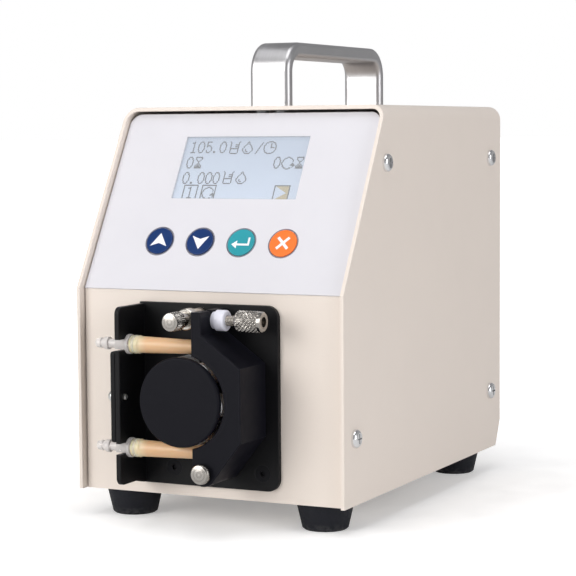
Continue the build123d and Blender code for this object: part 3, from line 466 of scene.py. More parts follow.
def make_key_print(name, colour):
    """Coloured print of a key, under the same satin film as the sheet round it."""
    material, tree, shader = new_material(name)
    skin = moulded(tree, colour, 2600.0, 0.34)
    # Lighter edge colour: partly wear, partly painted edge highlight.
    edge = edge_wear_and_highlight(tree, skin["Colour"], (0.55, 0.55, 0.58, 1), 0.0004, 0.25)
    marks = smudges(tree, 0.30, 0.15, 120.0)
    shader.inputs["Specular IOR Level"].default_value = 0.3
    join(tree, shader, edge, marks["Roughness"], (skin["Height"], 0.05, 0.0001))
    return material


def make_key_symbol():
    """Opaque white ink."""
    material, tree, shader = new_material("White key ink")
    skin = moulded(tree, (0.88, 0.89, 0.93, 1), roughness=0.4)
    join(tree, shader, skin["Colour"], skin["Roughness"])
    return material


def make_key_rim():
    """Grey printed ring round each key."""
    material, tree, shader = new_material("Grey key ring ink")
    skin = moulded(tree, (0.16, 0.16, 0.21, 1), roughness=0.4)
    join(tree, shader, skin["Colour"], skin["Roughness"])
    return material


def make_brushed_handle():
    """Satin aluminium, brushed along the bar and its legs."""
    material, tree, shader = new_material("Brushed aluminium handle", Metallic=1.0)
    lines = brushed(tree, (0.52, 0.515, 0.525, 1), (5200.0, 90.0, 90.0), 0.30, 0.36)
    # Lighter edge colour: partly wear, partly painted edge highlight.
    edge = edge_wear_and_highlight(tree, lines["Colour"], (0.62, 0.62, 0.63, 1), 0.0012, 0.4)
    shader.inputs["Anisotropic"].default_value = 0.35
    join(tree, shader, edge, lines["Roughness"], (lines["Height"], 0.12, 0.0001))
    return material


def make_bright_plate(name, colour, roughness):
    """Bright plated screws, with handling marks and lighter corners, partly wear and partly a painted edge
    highlight.
    """
    material, tree, shader = new_material(name, Metallic=1.0)
    # Lighter edge colour: partly wear, partly painted edge highlight.
    edge = edge_wear_and_highlight(tree, colour, (0.95, 0.94, 0.92, 1), 0.0003, 0.5)
    marks = smudges(tree, roughness, 0.14, 300.0)
    join(tree, shader, edge, marks["Roughness"], (marks["Mask"], 0.05, 0.0001))
    return material


def make_black_screws():
    """Oil-blackened steel screws."""
    material, tree, shader = new_material("Blackened screws", Metallic=0.6)
    marks = smudges(tree, 0.5, 0.1, 300.0)
    # Lighter edge colour: partly wear, partly painted edge highlight.
    edge = edge_wear_and_highlight(tree, (0.012, 0.012, 0.014, 1), (0.03, 0.03, 0.032, 1), 0.0002, 0.4)
    shader.inputs["Specular IOR Level"].default_value = 0.2
    join(tree, shader, edge, marks["Roughness"], (marks["Mask"], 0.05, 0.0001))
    return material


def make_turned_metal(name, colour, centre, across, roughness):
    """Metal turned on a lathe, with rings on its flat face."""
    material, tree, shader = new_material(name, Metallic=1.0)
    rings = place_group(
        tree,
        turned_rings,
        Metal=colour,
        Centre=centre,
        Across=across,
        Rings_per_metre=4200.0,
        Base_roughness=roughness,
    )
    # Lighter edge colour: partly wear, partly painted edge highlight.
    edge = edge_wear_and_highlight(tree, rings["Colour"], (0.93, 0.9, 0.86, 1), 0.0003, 0.5)
    join(tree, shader, edge, rings["Roughness"], (rings["Height"], 0.12, 0.0001))
    return material


def make_black_coat():
    """Satin black powder coat of the folded head plate."""
    material, tree, shader = new_material("Satin black powder coat")
    coat = place_group(tree, powder_coat_texture, Paint=(0.0035, 0.0035, 0.0045, 1), Grain_size=1500.0)
    # Lighter edge colour: partly wear, partly painted edge highlight.
    edge = edge_wear_and_highlight(tree, coat["Colour"], (0.035, 0.035, 0.04, 1), 0.0006, 0.6)
    dust = place_group(tree, settled_dust, Surface=edge, Dust=(0.3, 0.29, 0.28, 1), Amount=0.04)
    shader.inputs["Specular IOR Level"].default_value = 0.2
    join(tree, shader, dust["Colour"], coat["Roughness"], (coat["Height"], 0.15, 0.0002))
    return material


def make_black_anodised():
    """Bead-blasted black anodised aluminium of the clamp, rotor and cap."""
    material, tree, shader = new_material("Black anodised aluminium")
    coat = place_group(tree, powder_coat_texture, Paint=(0.005, 0.005, 0.0085, 1), Grain_size=3200.0)
    # Lighter edge colour: partly wear, partly painted edge highlight.
    edge = edge_wear_and_highlight(tree, coat["Colour"], (0.04, 0.04, 0.05, 1), 0.0005, 0.5)
    marks = smudges(tree, 0.46, 0.10, 70.0)
    shader.inputs["Specular IOR Level"].default_value = 0.11
    join(tree, shader, edge, marks["Roughness"], (coat["Height"], 0.10, 0.0001))
    return material


def make_roller_steel():
    """Ground stainless steel, with lines round each roller."""
    material, tree, shader = new_material("Ground roller steel", Metallic=0.5)
    lines = brushed(tree, (0.93, 0.93, 0.95, 1), (120.0, 5200.0, 120.0), 0.22, 0.48)
    join(tree, shader, lines["Colour"], lines["Roughness"], (lines["Height"], 0.10, 0.0001))
    return material


def make_foot_rubber():
    """Matt black rubber of the feet, a little dusty low down."""
    material, tree, shader = new_material("Matt black rubber")
    skin = moulded(tree, (0.009, 0.01, 0.015, 1), 900.0, 0.58)
    where = add(tree, "TexCoord").outputs["Object"]
    height = add(tree, "SeparateXYZ", {0: where}).outputs["Z"]
    low = spread(tree, height, 0.004, 0.0, 0.0, 0.35)
    shader.inputs["Specular IOR Level"].default_value = 0.25
    specks = maths(tree, "MULTIPLY", low, spread(tree, noise(tree, where, 500.0, 4.0), 0.4, 0.65))
    dusty = blend_colours(tree, specks, skin["Colour"], (0.16, 0.155, 0.15, 1))
    join(tree, shader, dusty, skin["Roughness"], (skin["Height"], 0.25, 0.0002))
    return material


def make_pump_tube():
    """Cream elastomer tube: paler where it is stretched over the barbs, warmer along its run."""
    material, tree, shader = new_material("Cream pump tube")
    where = add(tree, "TexCoord").outputs["Object"]
    across = add(tree, "SeparateXYZ", {0: where}).outputs["X"]
    stretched = spread(tree, across, -0.0225, -0.0285)
    body = blend_colours(tree, stretched, (0.74, 0.47, 0.26, 1), (0.76, 0.68, 0.46, 1))
    skin = moulded(tree, body, 700.0, 0.36)
    shader.inputs["Subsurface Weight"].default_value = 0.35
    shader.inputs["Subsurface Radius"].default_value = (1.0, 0.6, 0.3)
    shader.inputs["Subsurface Scale"].default_value = 0.0012
    shader.inputs["Coat Weight"].default_value = 0.12
    join(tree, shader, skin["Colour"], skin["Roughness"], (skin["Height"], 0.08, 0.0002))
    return material


def make_clear_plastic(name, colour, clear):
    """Clear moulded plastic, slightly hazy."""
    material, tree, shader = new_material(name, Transmission_Weight=clear, IOR=1.46)
    skin = moulded(tree, colour, 500.0, 0.22)
    join(tree, shader, skin["Colour"], skin["Roughness"], (skin["Height"], 0.06, 0.0002))
    return material


def make_plastic(name, colour, roughness, texture):
    """Plain moulded or turned plastic."""
    material, tree, shader = new_material(name)
    skin = moulded(tree, colour, texture, roughness)
    # Lighter edge colour: partly wear, partly painted edge highlight.
    edge = edge_wear_and_highlight(tree, skin["Colour"], (0.5, 0.5, 0.52, 1), 0.0004, 0.12)
    join(tree, shader, edge, skin["Roughness"], (skin["Height"], 0.15, 0.0001))
    return material


def make_brushed_metal(name, colour, stretch, roughness):
    """Milled or drawn metal of the inner parts and fittings."""
    material, tree, shader = new_material(name, Metallic=1.0)
    lines = brushed(tree, colour, stretch, 0.25, roughness)
    # Lighter edge colour: partly wear, partly painted edge highlight.
    edge = edge_wear_and_highlight(tree, lines["Colour"], (0.9, 0.89, 0.87, 1), 0.0004, 0.35)
    join(tree, shader, edge, lines["Roughness"], (lines["Height"], 0.12, 0.0001))
    return material


def make_circuit_board():
    """Green solder mask with pale copper tracks showing through."""
    material, tree, shader = new_material("Green circuit board")
    where = add(tree, "TexCoord").outputs["Object"]
    bricks = add(tree, "TexBrick", {"Vector": where, "Scale": 90.0, "Mortar Size": 0.03})
    bricks.inputs["Color1"].default_value = (0.012, 0.10, 0.045, 1)
    bricks.inputs["Color2"].default_value = (0.016, 0.13, 0.055, 1)
    bricks.inputs["Mortar"].default_value = (0.05, 0.26, 0.12, 1)
    marks = smudges(tree, 0.3, 0.2, 80.0)
    join(tree, shader, bricks.outputs["Color"], marks["Roughness"], (bricks.outputs["Fac"], 0.2, 0.0002))
    return material


pivot_centre = middle("pivot_screw")
latch_centre = middle("latch_screw")
bolt_centre = middle("latch_nut")
materials = {
    "case_paint": make_case_paint(),
    "chromed_screws": make_bright_plate("Bright chrome screws", (0.82, 0.82, 0.83, 1), 0.10),
    "foot_rubber": make_foot_rubber(),
    "zinc_screws": make_bright_plate("Zinc plated screws", (0.66, 0.66, 0.64, 1), 0.28),
    "brushed_handle": make_brushed_handle(),
    "overlay_film": make_overlay_film(),
    "display_window": make_display_window(),
    "display_panel": make_display_panel(),
    "key_blue": make_key_print("Blue key print", (0.001, 0.028, 0.135, 1)),
    "key_teal": make_key_print("Teal key print", (0.02, 0.31, 0.37, 1)),
    "key_orange": make_key_print("Orange key print", (0.95, 0.19, 0.030, 1)),
    "circuit_board": make_circuit_board(),
    "black_coat": make_black_coat(),
    "black_screws": make_black_screws(),
    "bronze": make_brushed_metal("Sintered bronze", (0.55, 0.36, 0.16, 1), (900.0, 900.0, 900.0), 0.45),
    "black_anodised": make_black_anodised(),
    "roller_steel": make_roller_steel(),
    "raw_aluminium": make_brushed_metal(
        "Milled aluminium", (0.72, 0.72, 0.73, 1), (3000.0, 3000.0, 90.0), 0.36
    ),
    "motor_black": make_plastic("Black motor lacquer", (0.02, 0.02, 0.022, 1), 0.35, 900.0),
    "pump_tube": make_pump_tube(),
    "clear_plastic": make_clear_plastic("Clear connector plastic", (0.93, 0.89, 0.87, 1), 0.42),
    "nickel": make_bright_plate("Bright nickel", (0.50, 0.47, 0.43, 1), 0.22),
    "white_plastic": make_plastic("Turned white plastic", (0.78, 0.78, 0.87, 1), 0.38, 1400.0),
    "black_plastic": make_plastic("Moulded black plastic", (0.018, 0.018, 0.02, 1), 0.42, 1500.0),
    "contact_metal": make_brushed_metal(
        "Tinned contacts", (0.72, 0.69, 0.62, 1), (300.0, 300.0, 4000.0), 0.25
    ),
    "port_metal": make_brushed_metal("Tinned port shell", (0.62, 0.62, 0.60, 1), (90.0, 90.0, 3200.0), 0.3),
}
nickel_colour = (0.44, 0.415, 0.385, 1)
facing_front = (1.0, 0.0, 1.0)
facing_side = (0.0, 1.0, 1.0)
turned_latch = make_turned_metal("Turned nickel, latch", nickel_colour, latch_centre, facing_front, 0.24)
turned_pivot = make_turned_metal("Turned nickel, pivot", nickel_colour, pivot_centre, facing_front, 0.24)
turned_bolt = make_turned_metal("Turned nickel, bolt", nickel_colour, bolt_centre, facing_side, 0.22)
display_ink = make_display_ink()
display_gold = make_display_gold()
key_symbol_ink = make_key_symbol()
key_rim_ink = make_key_rim()

for material in frame["record"]["materials"]:
    for node in nodes.values():
        for slot in node.material_slots:
            if slot.material is not None and slot.material.name.split(".")[0] == material["slot"]:
                slot.material = materials[material["slot"]]

# ------------------------------------------------------------------ mesh helpers

AXIS = 0.01  # radius of a turned solid where it closes on its own axis
SHANK = 2.5  # radius of both thumb screws' shanks

def finish_piece(name, mesh_code, finish, body, hides=(), smooth=None):
    """Turns a bmesh into a piece that rides on a body and stands for the named CAD nodes."""
    bmesh.ops.recalc_face_normals(mesh_code, faces=mesh_code.faces)
    data = bpy.data.meshes.new(name)
    mesh_code.to_mesh(data)
    mesh_code.free()
    data.materials.append(finish)
    if smooth is not None:
        data.shade_smooth()
        data.set_sharp_from_angle(angle=radians(smooth))
    piece = bpy.data.objects.new(name, data)
    bpy.context.scene.collection.objects.link(piece)
    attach(piece, body)
    if hides:
        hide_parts(*hides)
    return piece


def soften(piece, width, segments=2):
    """Rounds the sharp edges of a piece."""
    bevel = piece.modifiers.new("Soft edges", "BEVEL")
    bevel.width = width * mm
    bevel.segments = segments
    bevel.limit_method = "ANGLE"
    bevel.angle_limit = radians(40)


def axis_frame(start, along):
    """A matrix whose Z runs along the given direction from the start point."""
    along = Vector(along).normalized()
    return Matrix.Translation(start) @ along.to_track_quat("Z", "Y").to_matrix().to_4x4()


def ring(code, place, height, segments, radius_at):
    """A ring of points round a frame's Z axis; radius_at(turn) is in millimetres."""
    points = []
    for step in range(segments):
        angle = 2 * pi * step / segments
        radius = radius_at(step / segments)
        spot = Vector((radius * cos(angle), radius * sin(angle), height)) * mm
        points.append(code.verts.new(place @ spot))
    return points


def bridge(code, low, high):
    """A band of faces between two rings with as many points."""
    for step in range(len(low)):
        after = (step + 1) % len(low)
        code.faces.new((low[step], low[after], high[after], high[step]))


def ring_grid(code, rings, segments, place, radius_at, closed=True):
    """A skin of rings round the Z axis of a frame. radius_at(ring, turn) is in millimetres."""
    rows = []
    for number, height in enumerate(rings):
        rows.append(ring(code, place, height, segments, lambda turn: radius_at(number, turn)))
    for low, high in zip(rows, rows[1:]):
        bridge(code, low, high)
    if closed:
        code.faces.new(rows[0][::-1])
        code.faces.new(rows[-1])
    return rows


def lathe(code, profile, place, segments=64):
    """A closed turned solid: profile is a list of (height, radius) from one end round to the other."""
    rows = [ring(code, place, height, segments, lambda turn: radius) for height, radius in profile]
    for low, high in zip(rows, rows[1:] + rows[:1]):
        bridge(code, low, high)


def prism(code, outline, place, thickness):
    """A flat outline in millimetres, made solid from its plane outwards. place(x, y, out) gives points."""
    below = [code.verts.new(place(x, y, 0)) for x, y in outline]
    above = [code.verts.new(place(x, y, thickness)) for x, y in outline]
    code.faces.new(above)
    code.faces.new(below[::-1])
    for number in range(len(outline)):
        after = (number + 1) % len(outline)
        code.faces.new((below[number], below[after], above[after], above[number]))


def tooth(value):
    """A triangle wave from 0 to 1."""
    return 1 - abs(2 * (value - floor(value)) - 1)


# ------------------------------------------------------------------ thumb screws and latch


def knurled_barrel(code, place, start, length, radius, teeth, depth, lead):
    """A diamond-knurled barrel with plain chamfered ends, from start along the frame's Z."""
    segments = teeth * 8
    pitch = 2 * pi * radius / teeth
    step = pitch / 6
    count = ceil((length - 2 * lead) / step)
    rings = [start, start + lead * 0.5]
    rings += [start + lead + (length - 2 * lead) * n / count for n in range(count + 1)]
    rings += [start + length - lead * 0.5, start + length]
    last = len(rings) - 1

    def radius_at(number, turn):
        if number in (0, last):
            return radius - lead * 0.5
        if number in (1, last - 1):
            return radius - depth * 0.5
        along = (rings[number] - start) / pitch
        around = turn * teeth
        diamond = min(tooth(around + along), tooth(around - along))
        return radius - depth + depth * min(1.0, diamond * 1.35)

    ring_grid(code, rings, segments, place, radius_at)


def make_latch_knob():
    """Knurled thumb screw that the latch bolt swings on."""
    low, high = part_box("latch_screw")
    front = Vector((latch_centre.x, low.y, latch_centre.z))
    place = axis_frame(front, (0, 1, 0))
    radius = (high.x - low.x) / 2 / mm
    code = bmesh.new()
    knurled_barrel(code, place, 0.55, 7.95, radius, 15, 0.6, 0.6)
    face = [(0.0, AXIS), (0.0, radius - 0.75), (0.14, radius - 0.4), (0.57, radius - 0.3), (0.57, AXIS)]
    lathe(code, face, place)
    lathe(code, [(8.4, AXIS), (8.4, 3.0), (8.8, 3.5), (14.1, 3.5), (14.5, 3.2), (14.5, AXIS)], place)
    end = (high.y - low.y) / mm
    lathe(code, [(14.4, AXIS), (14.4, SHANK), (end - 0.5, SHANK), (end, 2.1), (end, AXIS)], place)
    finish_piece(
        "latch_thumb_screw", code, turned_latch, "latch_thumb_screw", ["latch_screw"], smooth=28
    )


def make_pivot_knob():
    """Low thumb screw that the clamp swings on, with a fine straight knurl on its rim."""
    low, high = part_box("pivot_screw")
    front = Vector((pivot_centre.x, low.y, pivot_centre.z))
    place = axis_frame(front, (0, 1, 0))
    radius = (high.x - low.x) / 2 / mm
    code = bmesh.new()
    rings = [0.45, 0.7, 1.0, 2.9, 3.1, 3.4]
    deep = [0.4, 0.25, 0.0, 0.0, 0.25, 0.4]

    def rim(number, turn):
        return radius - deep[number] - 0.16 * tooth(turn * 60) * (deep[number] == 0)

    ring_grid(code, rings, 240, place, rim)
    face = [(0.0, AXIS), (0.0, radius - 0.85), (0.12, radius - 0.55), (0.47, radius - 0.45), (0.47, AXIS)]
    lathe(code, face, place)
    end = (high.y - low.y) / mm
    lathe(code, [(3.3, AXIS), (3.3, SHANK), (end - 0.5, SHANK), (end, 2.1), (end, AXIS)], place)
    finish_piece(
        "pivot_thumb_screw", code, turned_pivot, "pivot_thumb_screw", ["pivot_screw"], smooth=28
    )


def make_latch_bolt():
    """Swing bolt: a round eye on the thumb screw and a threaded rod through the clamp's fork."""
    low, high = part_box("latch_bolt")
    eye = Vector((latch_centre.x, (low.y + high.y) / 2, latch_centre.z))
    code = bmesh.new()
    half = (high.y - low.y) / mm / 2
    profile = [(-half, 2.6), (-half, 4.6), (0.4 - half, 5.0), (half - 0.4, 5.0), (half, 4.6), (half, 2.6)]
    lathe(code, profile, axis_frame(eye, (0, 1, 0)))
    rod = axis_frame(eye, (1, 0, 0))
    end = (high.x - eye.x) / mm
    plain = 12.0
    lathe(code, [(4.0, AXIS), (4.0, 2.4), (plain, 2.4), (plain + 0.4, 2.0), (plain + 0.4, AXIS)], rod, 48)
    pitch = 0.8
    steps = ceil((end - plain) / pitch * 8)
    rings = [plain + (end - plain) * n / steps for n in range(steps + 1)]

    def thread(number, turn):
        crest = min(1.0, tooth(rings[number] / pitch - turn) * 1.25)
        lead = min(1.0, (end - rings[number]) / 0.7)
        return 1.95 + 0.45 * crest * lead

    ring_grid(code, rings, 40, rod, thread)
    finish_piece(
        "swing_bolt_and_eye", code, materials["nickel"], "swing_bolt", ["latch_bolt"], smooth=40
    )


def make_latch_nut():
    """Long knurled nut with turned ends and the rod's hole through it."""
    low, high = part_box("latch_nut")
    start = Vector((low.x, bolt_centre.y, bolt_centre.z))
    length = (high.x - low.x) / mm
    place = axis_frame(start, (1, 0, 0))
    code = bmesh.new()
    radius = (high.z - low.z) / 2 / mm
    bore = 2.45
    teeth = 16
    pitch = 2 * pi * radius / teeth
    knurl_start, knurl_end = 0.9, length - 2.0
    count = ceil((knurl_end - knurl_start) / pitch * 6)
    knurl = [knurl_start + (knurl_end - knurl_start) * n / count for n in range(count + 1)]
    plain = {0.0: radius - 0.75, 0.45: radius - 0.4, length - 1.7: radius - 0.3}
    plain |= {length - 0.5: radius - 0.3, length: radius - 0.8}
    rings = [0.0, 0.45] + knurl + [length - 1.7, length - 0.5, length]

    def skin(number, turn):
        height = rings[number]
        if height in plain:
            return plain[height]
        along = height / pitch
        diamond = min(tooth(turn * teeth + along), tooth(turn * teeth - along))
        return radius - 0.65 + 0.65 * min(1.0, diamond * 1.35)

    segments = teeth * 8
    rows = ring_grid(code, rings, segments, place, skin, closed=False)
    bore_start = ring(code, place, 0.0, segments, lambda turn: bore)
    bore_end = ring(code, place, length, segments, lambda turn: bore)
    bridge(code, rows[0], bore_start)
    bridge(code, bore_start, bore_end)
    bridge(code, bore_end, rows[-1])
    finish_piece("knurled_latch_nut", code, turned_bolt, "swing_nut", ["latch_nut"], smooth=28)


# ------------------------------------------------------------------ tube and its bands


def tube_route():
    """Points along the pump tube's middle: in, round the rotor and out."""
    low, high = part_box("pump_tube")
    depth = (low.y + high.y) / 2
    thick = (high.y - low.y) / 2
    reach = (high.z - low.z) / 2 - thick
    axis_z = (low.z + high.z) / 2
    straight = 16
    points = []
    for n in range(straight):
        points.append(Vector((low.x * (1 - n / straight), depth, axis_z + reach)))
    for n in range(49):
        angle = pi / 2 - pi * n / 48
        points.append(Vector((reach * cos(angle), depth, axis_z + reach * sin(angle))))
    for n in range(1, straight + 1):
        points.append(Vector((low.x * n / straight, depth, axis_z - reach)))
    return points, thick / mm


def tube_stations(whole):
    """Distances along the tube at which its width is set, closer together at its two collars."""
    near = [0.0, 0.25, 3.0, 3.3, 3.7, 4.1, 4.5, 4.8, 5.2, 6.5, 9.0]
    run = [12.0 + 2.0 * n for n in range(ceil((whole - 24.0) / 2.0))]
    return near + run + [whole - gap for gap in [12.0] + near[::-1]]


def tube_swell(gap):
    """How much fatter the tube is at a distance from its nearer end."""
    collar = {0.0: 0.72, 0.25: 0.95, 3.0: 0.98, 3.3: 0.86, 3.7: 0.98, 4.1: 1.14, 4.5: 0.98, 4.8: 0.82}
    return collar.get(round(gap, 3), 0.84 * max(0.0, 1 - round(gap, 3) / 35.0))


def make_pump_tube_piece():
    """Thick-walled tube: fat where the barbs stretch it, with a moulded collar at each end."""
    points, thin = tube_route()
    travel = [0.0]
    for before, after in zip(points, points[1:]):
        travel.append(travel[-1] + (after - before).length / mm)
    whole = travel[-1]
    code = bmesh.new()
    segments = 40
    bore = 2.25
    side = Vector((0, 1, 0))

    def spot(where):
        for number in range(len(travel) - 1):
            if travel[number + 1] >= where - 1e-6:
                break
        part = (where - travel[number]) / (travel[number + 1] - travel[number])
        along = (points[number + 1] - points[number]).normalized()
        return points[number].lerp(points[number + 1], part), along

    outside = []
    inside = []
    for wall in (outside, inside):
        for where in tube_stations(whole):
            point, along = spot(where)
            up = side.cross(along)
            radius = bore if wall is inside else thin + tube_swell(min(where, whole - where))
            row = []
            for step in range(segments):
                angle = 2 * pi * step / segments
                row.append(code.verts.new(point + (side * cos(angle) + up * sin(angle)) * radius * mm))
            wall.append(row)
        for low, high in zip(wall, wall[1:]):
            bridge(code, low, high)
    for end in (0, -1):
        bridge(code, outside[end], inside[end])
    finish_piece(
        "pump_tube_bent", code, materials["pump_tube"], "housing", ["pump_tube"], smooth=50
    )


def make_tube_bands():
    """Rounded retaining bands, one on each end of the tube."""
    low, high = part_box("tube_bands")
    depth = (low.y + high.y) / 2
    tube_low, tube_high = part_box("pump_tube")
    thick = (tube_high.y - tube_low.y) / 2
    code = bmesh.new()
    for height in (tube_high.z - thick, tube_low.z + thick):
        place = axis_frame(Vector((low.x - 1.2 * mm, depth, height)), (1, 0, 0))
        profile = [(0.0, 4.1)]
        profile += [(0.7 - 0.7 * cos(pi * n / 8), 4.15 + 0.3 * sin(pi * n / 8)) for n in range(9)]
        profile += [(1.4, 4.1)]
        lathe(code, profile, place, 48)
    finish_piece(
        "tube_retaining_bands", code, band_plastic, "housing", ["tube_bands"], smooth=50
    )


# ------------------------------------------------------------------ connectors


def make_connector(name, node):
    """Clear barbed connector with a round collar inside the plate and a square shoulder in its slot."""
    low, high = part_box(node)
    depth = (low.y + high.y) / 2
    height = (low.z + high.z) / 2
    place = axis_frame(Vector((low.x, depth, height)), (1, 0, 0))
    reach = (high.x - low.x) / mm
    collar = (high.z - low.z) / 2 / mm
    code = bmesh.new()
    profile = [(0.0, 1.3), (0.0, 1.85), (0.35, 2.05), (2.6, 2.5), (3.0, 2.42), (3.05, 2.12), (3.6, 2.12)]
    profile += [(4.9, 2.98), (5.1, 3.0), (6.9, 3.0), (7.05, 2.9), (7.1, 2.15), (10.8, 2.15)]
    profile += [(11.1, 2.2), (17.05, 2.2), (17.1, collar - 0.25), (17.35, collar), (18.8, collar)]
    profile += [(19.05, collar - 0.25), (19.1, 2.15), (reach - 1.0, 2.15), (reach, 1.75), (reach, 1.3)]
    lathe(code, profile, place, 48)
    shoulder_length = 6.1
    shoulder_side = 5
    spot = Vector((low.x + 14.05 * mm, depth, height))
    for vert in bmesh.ops.create_cube(code, size=1.0)["verts"]:
        across = Vector((vert.co.x * shoulder_length, vert.co.y * shoulder_side, vert.co.z * shoulder_side))
        vert.co = spot + across * mm
    finish = materials["clear_plastic"]
    piece = finish_piece(name, code, finish, "housing", [node], smooth=35)
    soften(piece, 0.25)


# ------------------------------------------------------------------ display

CELL_PITCH_X = WINDOW_WIDTH / 128
CELL_PITCH_Y = WINDOW_HEIGHT / 64
CELL_SPILL = 0.03
CELL_LEVEL = -0.38
GLYPHS = {
    "0": "..###.. .#...#. .#...#. #.....# #.....# #.....# #.....# #.....# #.....# .#...#. .#...#. ..###..",
    "1": "...#... .###... ...#... ...#... ...#... ...#... ...#... ...#... ...#... ...#... ...#... .#####.",
    "5": ".#####. .#..... .#..... .#..... .####.. .#...#. ......# ......# ......# .#....# .#...#. ..###..",
    ".": "....... ....... ....... ....... ....... ....... ....... ....... ....... ....... .##.... .##....",
    "/": "......# .....#. .....#. ....#.. ....#.. ...#... ...#... ..#.... ..#.... .#..... .#..... #......",
    "drop": (
        "......#...... .....#.#..... .....#.#..... ....#...#.... ...#.....#... ..#.......#.. "
        "..#.......#.. .#.........#. .#..#......#. .#..#......#. ..#..##...#.. ...#.....#... ....#####...."
    ),
    "beaker": (
        "#.........#.. .#.......#... .#.......#... .#....####... .#.......#... .#....####... "
        ".#.......#... .#########... .#.......#... .#.......#... .#.......#... .#.......#... ..#######...."
    ),
    "clock": (
        "....#####.... ..##.....##.. .#.....#...#. .#.....#...#. #......#....# #......#....# "
        "#......####.# #...........# #...........# .#.........#. .#.........#. ..##.....##.. ....#####...."
    ),
    "glass": (
        "####### #.....# #.....# .#...#. ..#.#.. ...#... ...#... ..#.#.. .#.#.#. #.###.# ####### #######"
    ),
    "turn": (
        ".....###..... ...##...##... ..#.......#.. .#.........#. .#.........#. #............ "
        "#..........#. #.........### .#.......##### .#..........#. ..#........#. ...##...##... .....###....."
    ),
}


def cell_box(code, across, down, wide=1.0, tall=1.0):
    """One dark cell, or a bar of cells, counted from the window's top left corner."""
    left = -WINDOW_WIDTH / 2 + across * CELL_PITCH_X - CELL_SPILL
    right = left + wide * CELL_PITCH_X + 2 * CELL_SPILL
    top = WINDOW_MIDDLE + WINDOW_HEIGHT / 2 - down * CELL_PITCH_Y + CELL_SPILL
    bottom = top - tall * CELL_PITCH_Y - 2 * CELL_SPILL
    outline = [(left, bottom), (right, bottom), (right, top), (left, top)]
    prism(code, outline, over_cells, 0.08)


def over_cells(x, y, out):
    """A point out from the level that the display's cells lie on."""
    return on_slope(x, y, CELL_LEVEL + out)


def write_glyph(code, name, across, down):
    """Lays one glyph of cells with its top left corner at a cell."""
    for row, line in enumerate(GLYPHS[name].split()):
        start = None
        for column, mark in enumerate(line + "."):
            if mark == "#" and start is None:
                start = column
            if mark != "#" and start is not None:
                cell_box(code, across + start, down + row, column - start)
                start = None


def framed_box(code, across, down, size):
    """A square outline of cells."""
    cell_box(code, across, down, size, 1)
    cell_box(code, across, down + 1, 1, size - 1)
    cell_box(code, across + size - 1, down + 1, 1, size - 1)


def make_display_cells():
    """Readings in three rows and a row of mode symbols; numbers and plain pictograms only."""
    code = bmesh.new()
    rows = {
        4: {5: "1", 13: "0", 21: "5", 29: ".", 36: "0", 46: "beaker", 59: "drop", 82: "clock"},
        5: {74: "/"},
        20: {5: "0", 14: "glass", 96: "0", 104: "turn", 119: "glass"},
        36: {5: "0", 13: ".", 21: "0", 29: "0", 37: "0"},
        35: {47: "beaker", 60: "drop"},
        51: {13: "1", 29: "turn"},
    }
    for down, glyphs in rows.items():
        for across, name in glyphs.items():
            write_glyph(code, name, across, down)
    for across, size in ((9, 15), (28, 15), (103, 16)):
        framed_box(code, across, 49, size)
    finish_piece("display_cells", code, display_ink, "housing")


def make_run_symbol():
    """Gold field of the run symbol, with its pale triangle left open."""
    code = bmesh.new()
    left = -WINDOW_WIDTH / 2 + 104 * CELL_PITCH_X
    right = left + 14 * CELL_PITCH_X
    top = WINDOW_MIDDLE + WINDOW_HEIGHT / 2 - 50 * CELL_PITCH_Y
    bottom = WINDOW_MIDDLE - WINDOW_HEIGHT / 2 + 0.1
    tip = ((right + left) / 2 + 5 * CELL_PITCH_X, (top + bottom) / 2)
    upper = [(left, top), (left + 1.0, top - 0.5), tip, (right, tip[1]), (right, top)]
    lower = [(left, bottom), (right, bottom), (right, tip[1]), tip, (left + 1.0, bottom + 0.5)]
    prism(code, upper, over_cells, 0.06)
    prism(code, lower, over_cells, 0.06)
    finish_piece("run_symbol_field", code, display_gold, "housing")


# ------------------------------------------------------------------ keys


def key_point(across, x, y, out):
    """A point over a key's face, from millimetres across and up from its middle."""
    return on_slope(across + x, KEY_ROW + y, out)


def make_key_rims():
    """Thin grey rings printed round the keys."""
    code = bmesh.new()
    for across in KEY_PLACES.values():
        place = axis_frame(on_slope(across, KEY_ROW, 0.79), SLOPE_OUT)
        lathe(code, [(0.0, 7.32), (0.06, 7.36), (0.06, 7.72), (0.0, 7.78)], place, 96)
    finish_piece("key_rings", code, key_rim_ink, "housing", smooth=40)


def make_key_symbols():
    """White symbols, one on each key."""
    arrow = [(0.0, 4.1), (4.5, -2.9), (0.0, -1.3), (-4.5, -2.9)]
    bent_arrow = [(-4.8, -1.2), (-2.0, 0.9), (-2.0, -0.7), (3.6, -0.7), (3.6, 2.6), (4.6, 2.6)]
    bent_arrow += [(4.6, -1.7), (-2.0, -1.7), (-2.0, -3.3)]
    cross = [(-3.4, -2.4), (-2.4, -3.4), (0, -1.0), (2.4, -3.4), (3.4, -2.4), (1.0, 0)]
    cross += [(3.4, 2.4), (2.4, 3.4), (0, 1.0), (-2.4, 3.4), (-3.4, 2.4), (-1.0, 0)]
    symbols = {
        "key_up": (arrow, "key_blue"),
        "key_down": ([(-x, -y) for x, y in arrow], "key_blue"),
        "key_enter": (bent_arrow, "key_teal"),
        "key_escape": (cross, "key_orange"),
    }
    for key, (outline, slot) in symbols.items():
        code = bmesh.new()
        across = KEY_PLACES[key]
        prism(code, outline, lambda x, y, z: key_point(across, x, y, KEY_FACE - 0.01 + z), 0.06)
        finish_piece(key + "_symbol", code, key_symbol_ink, key)


# ------------------------------------------------------------------ build everything

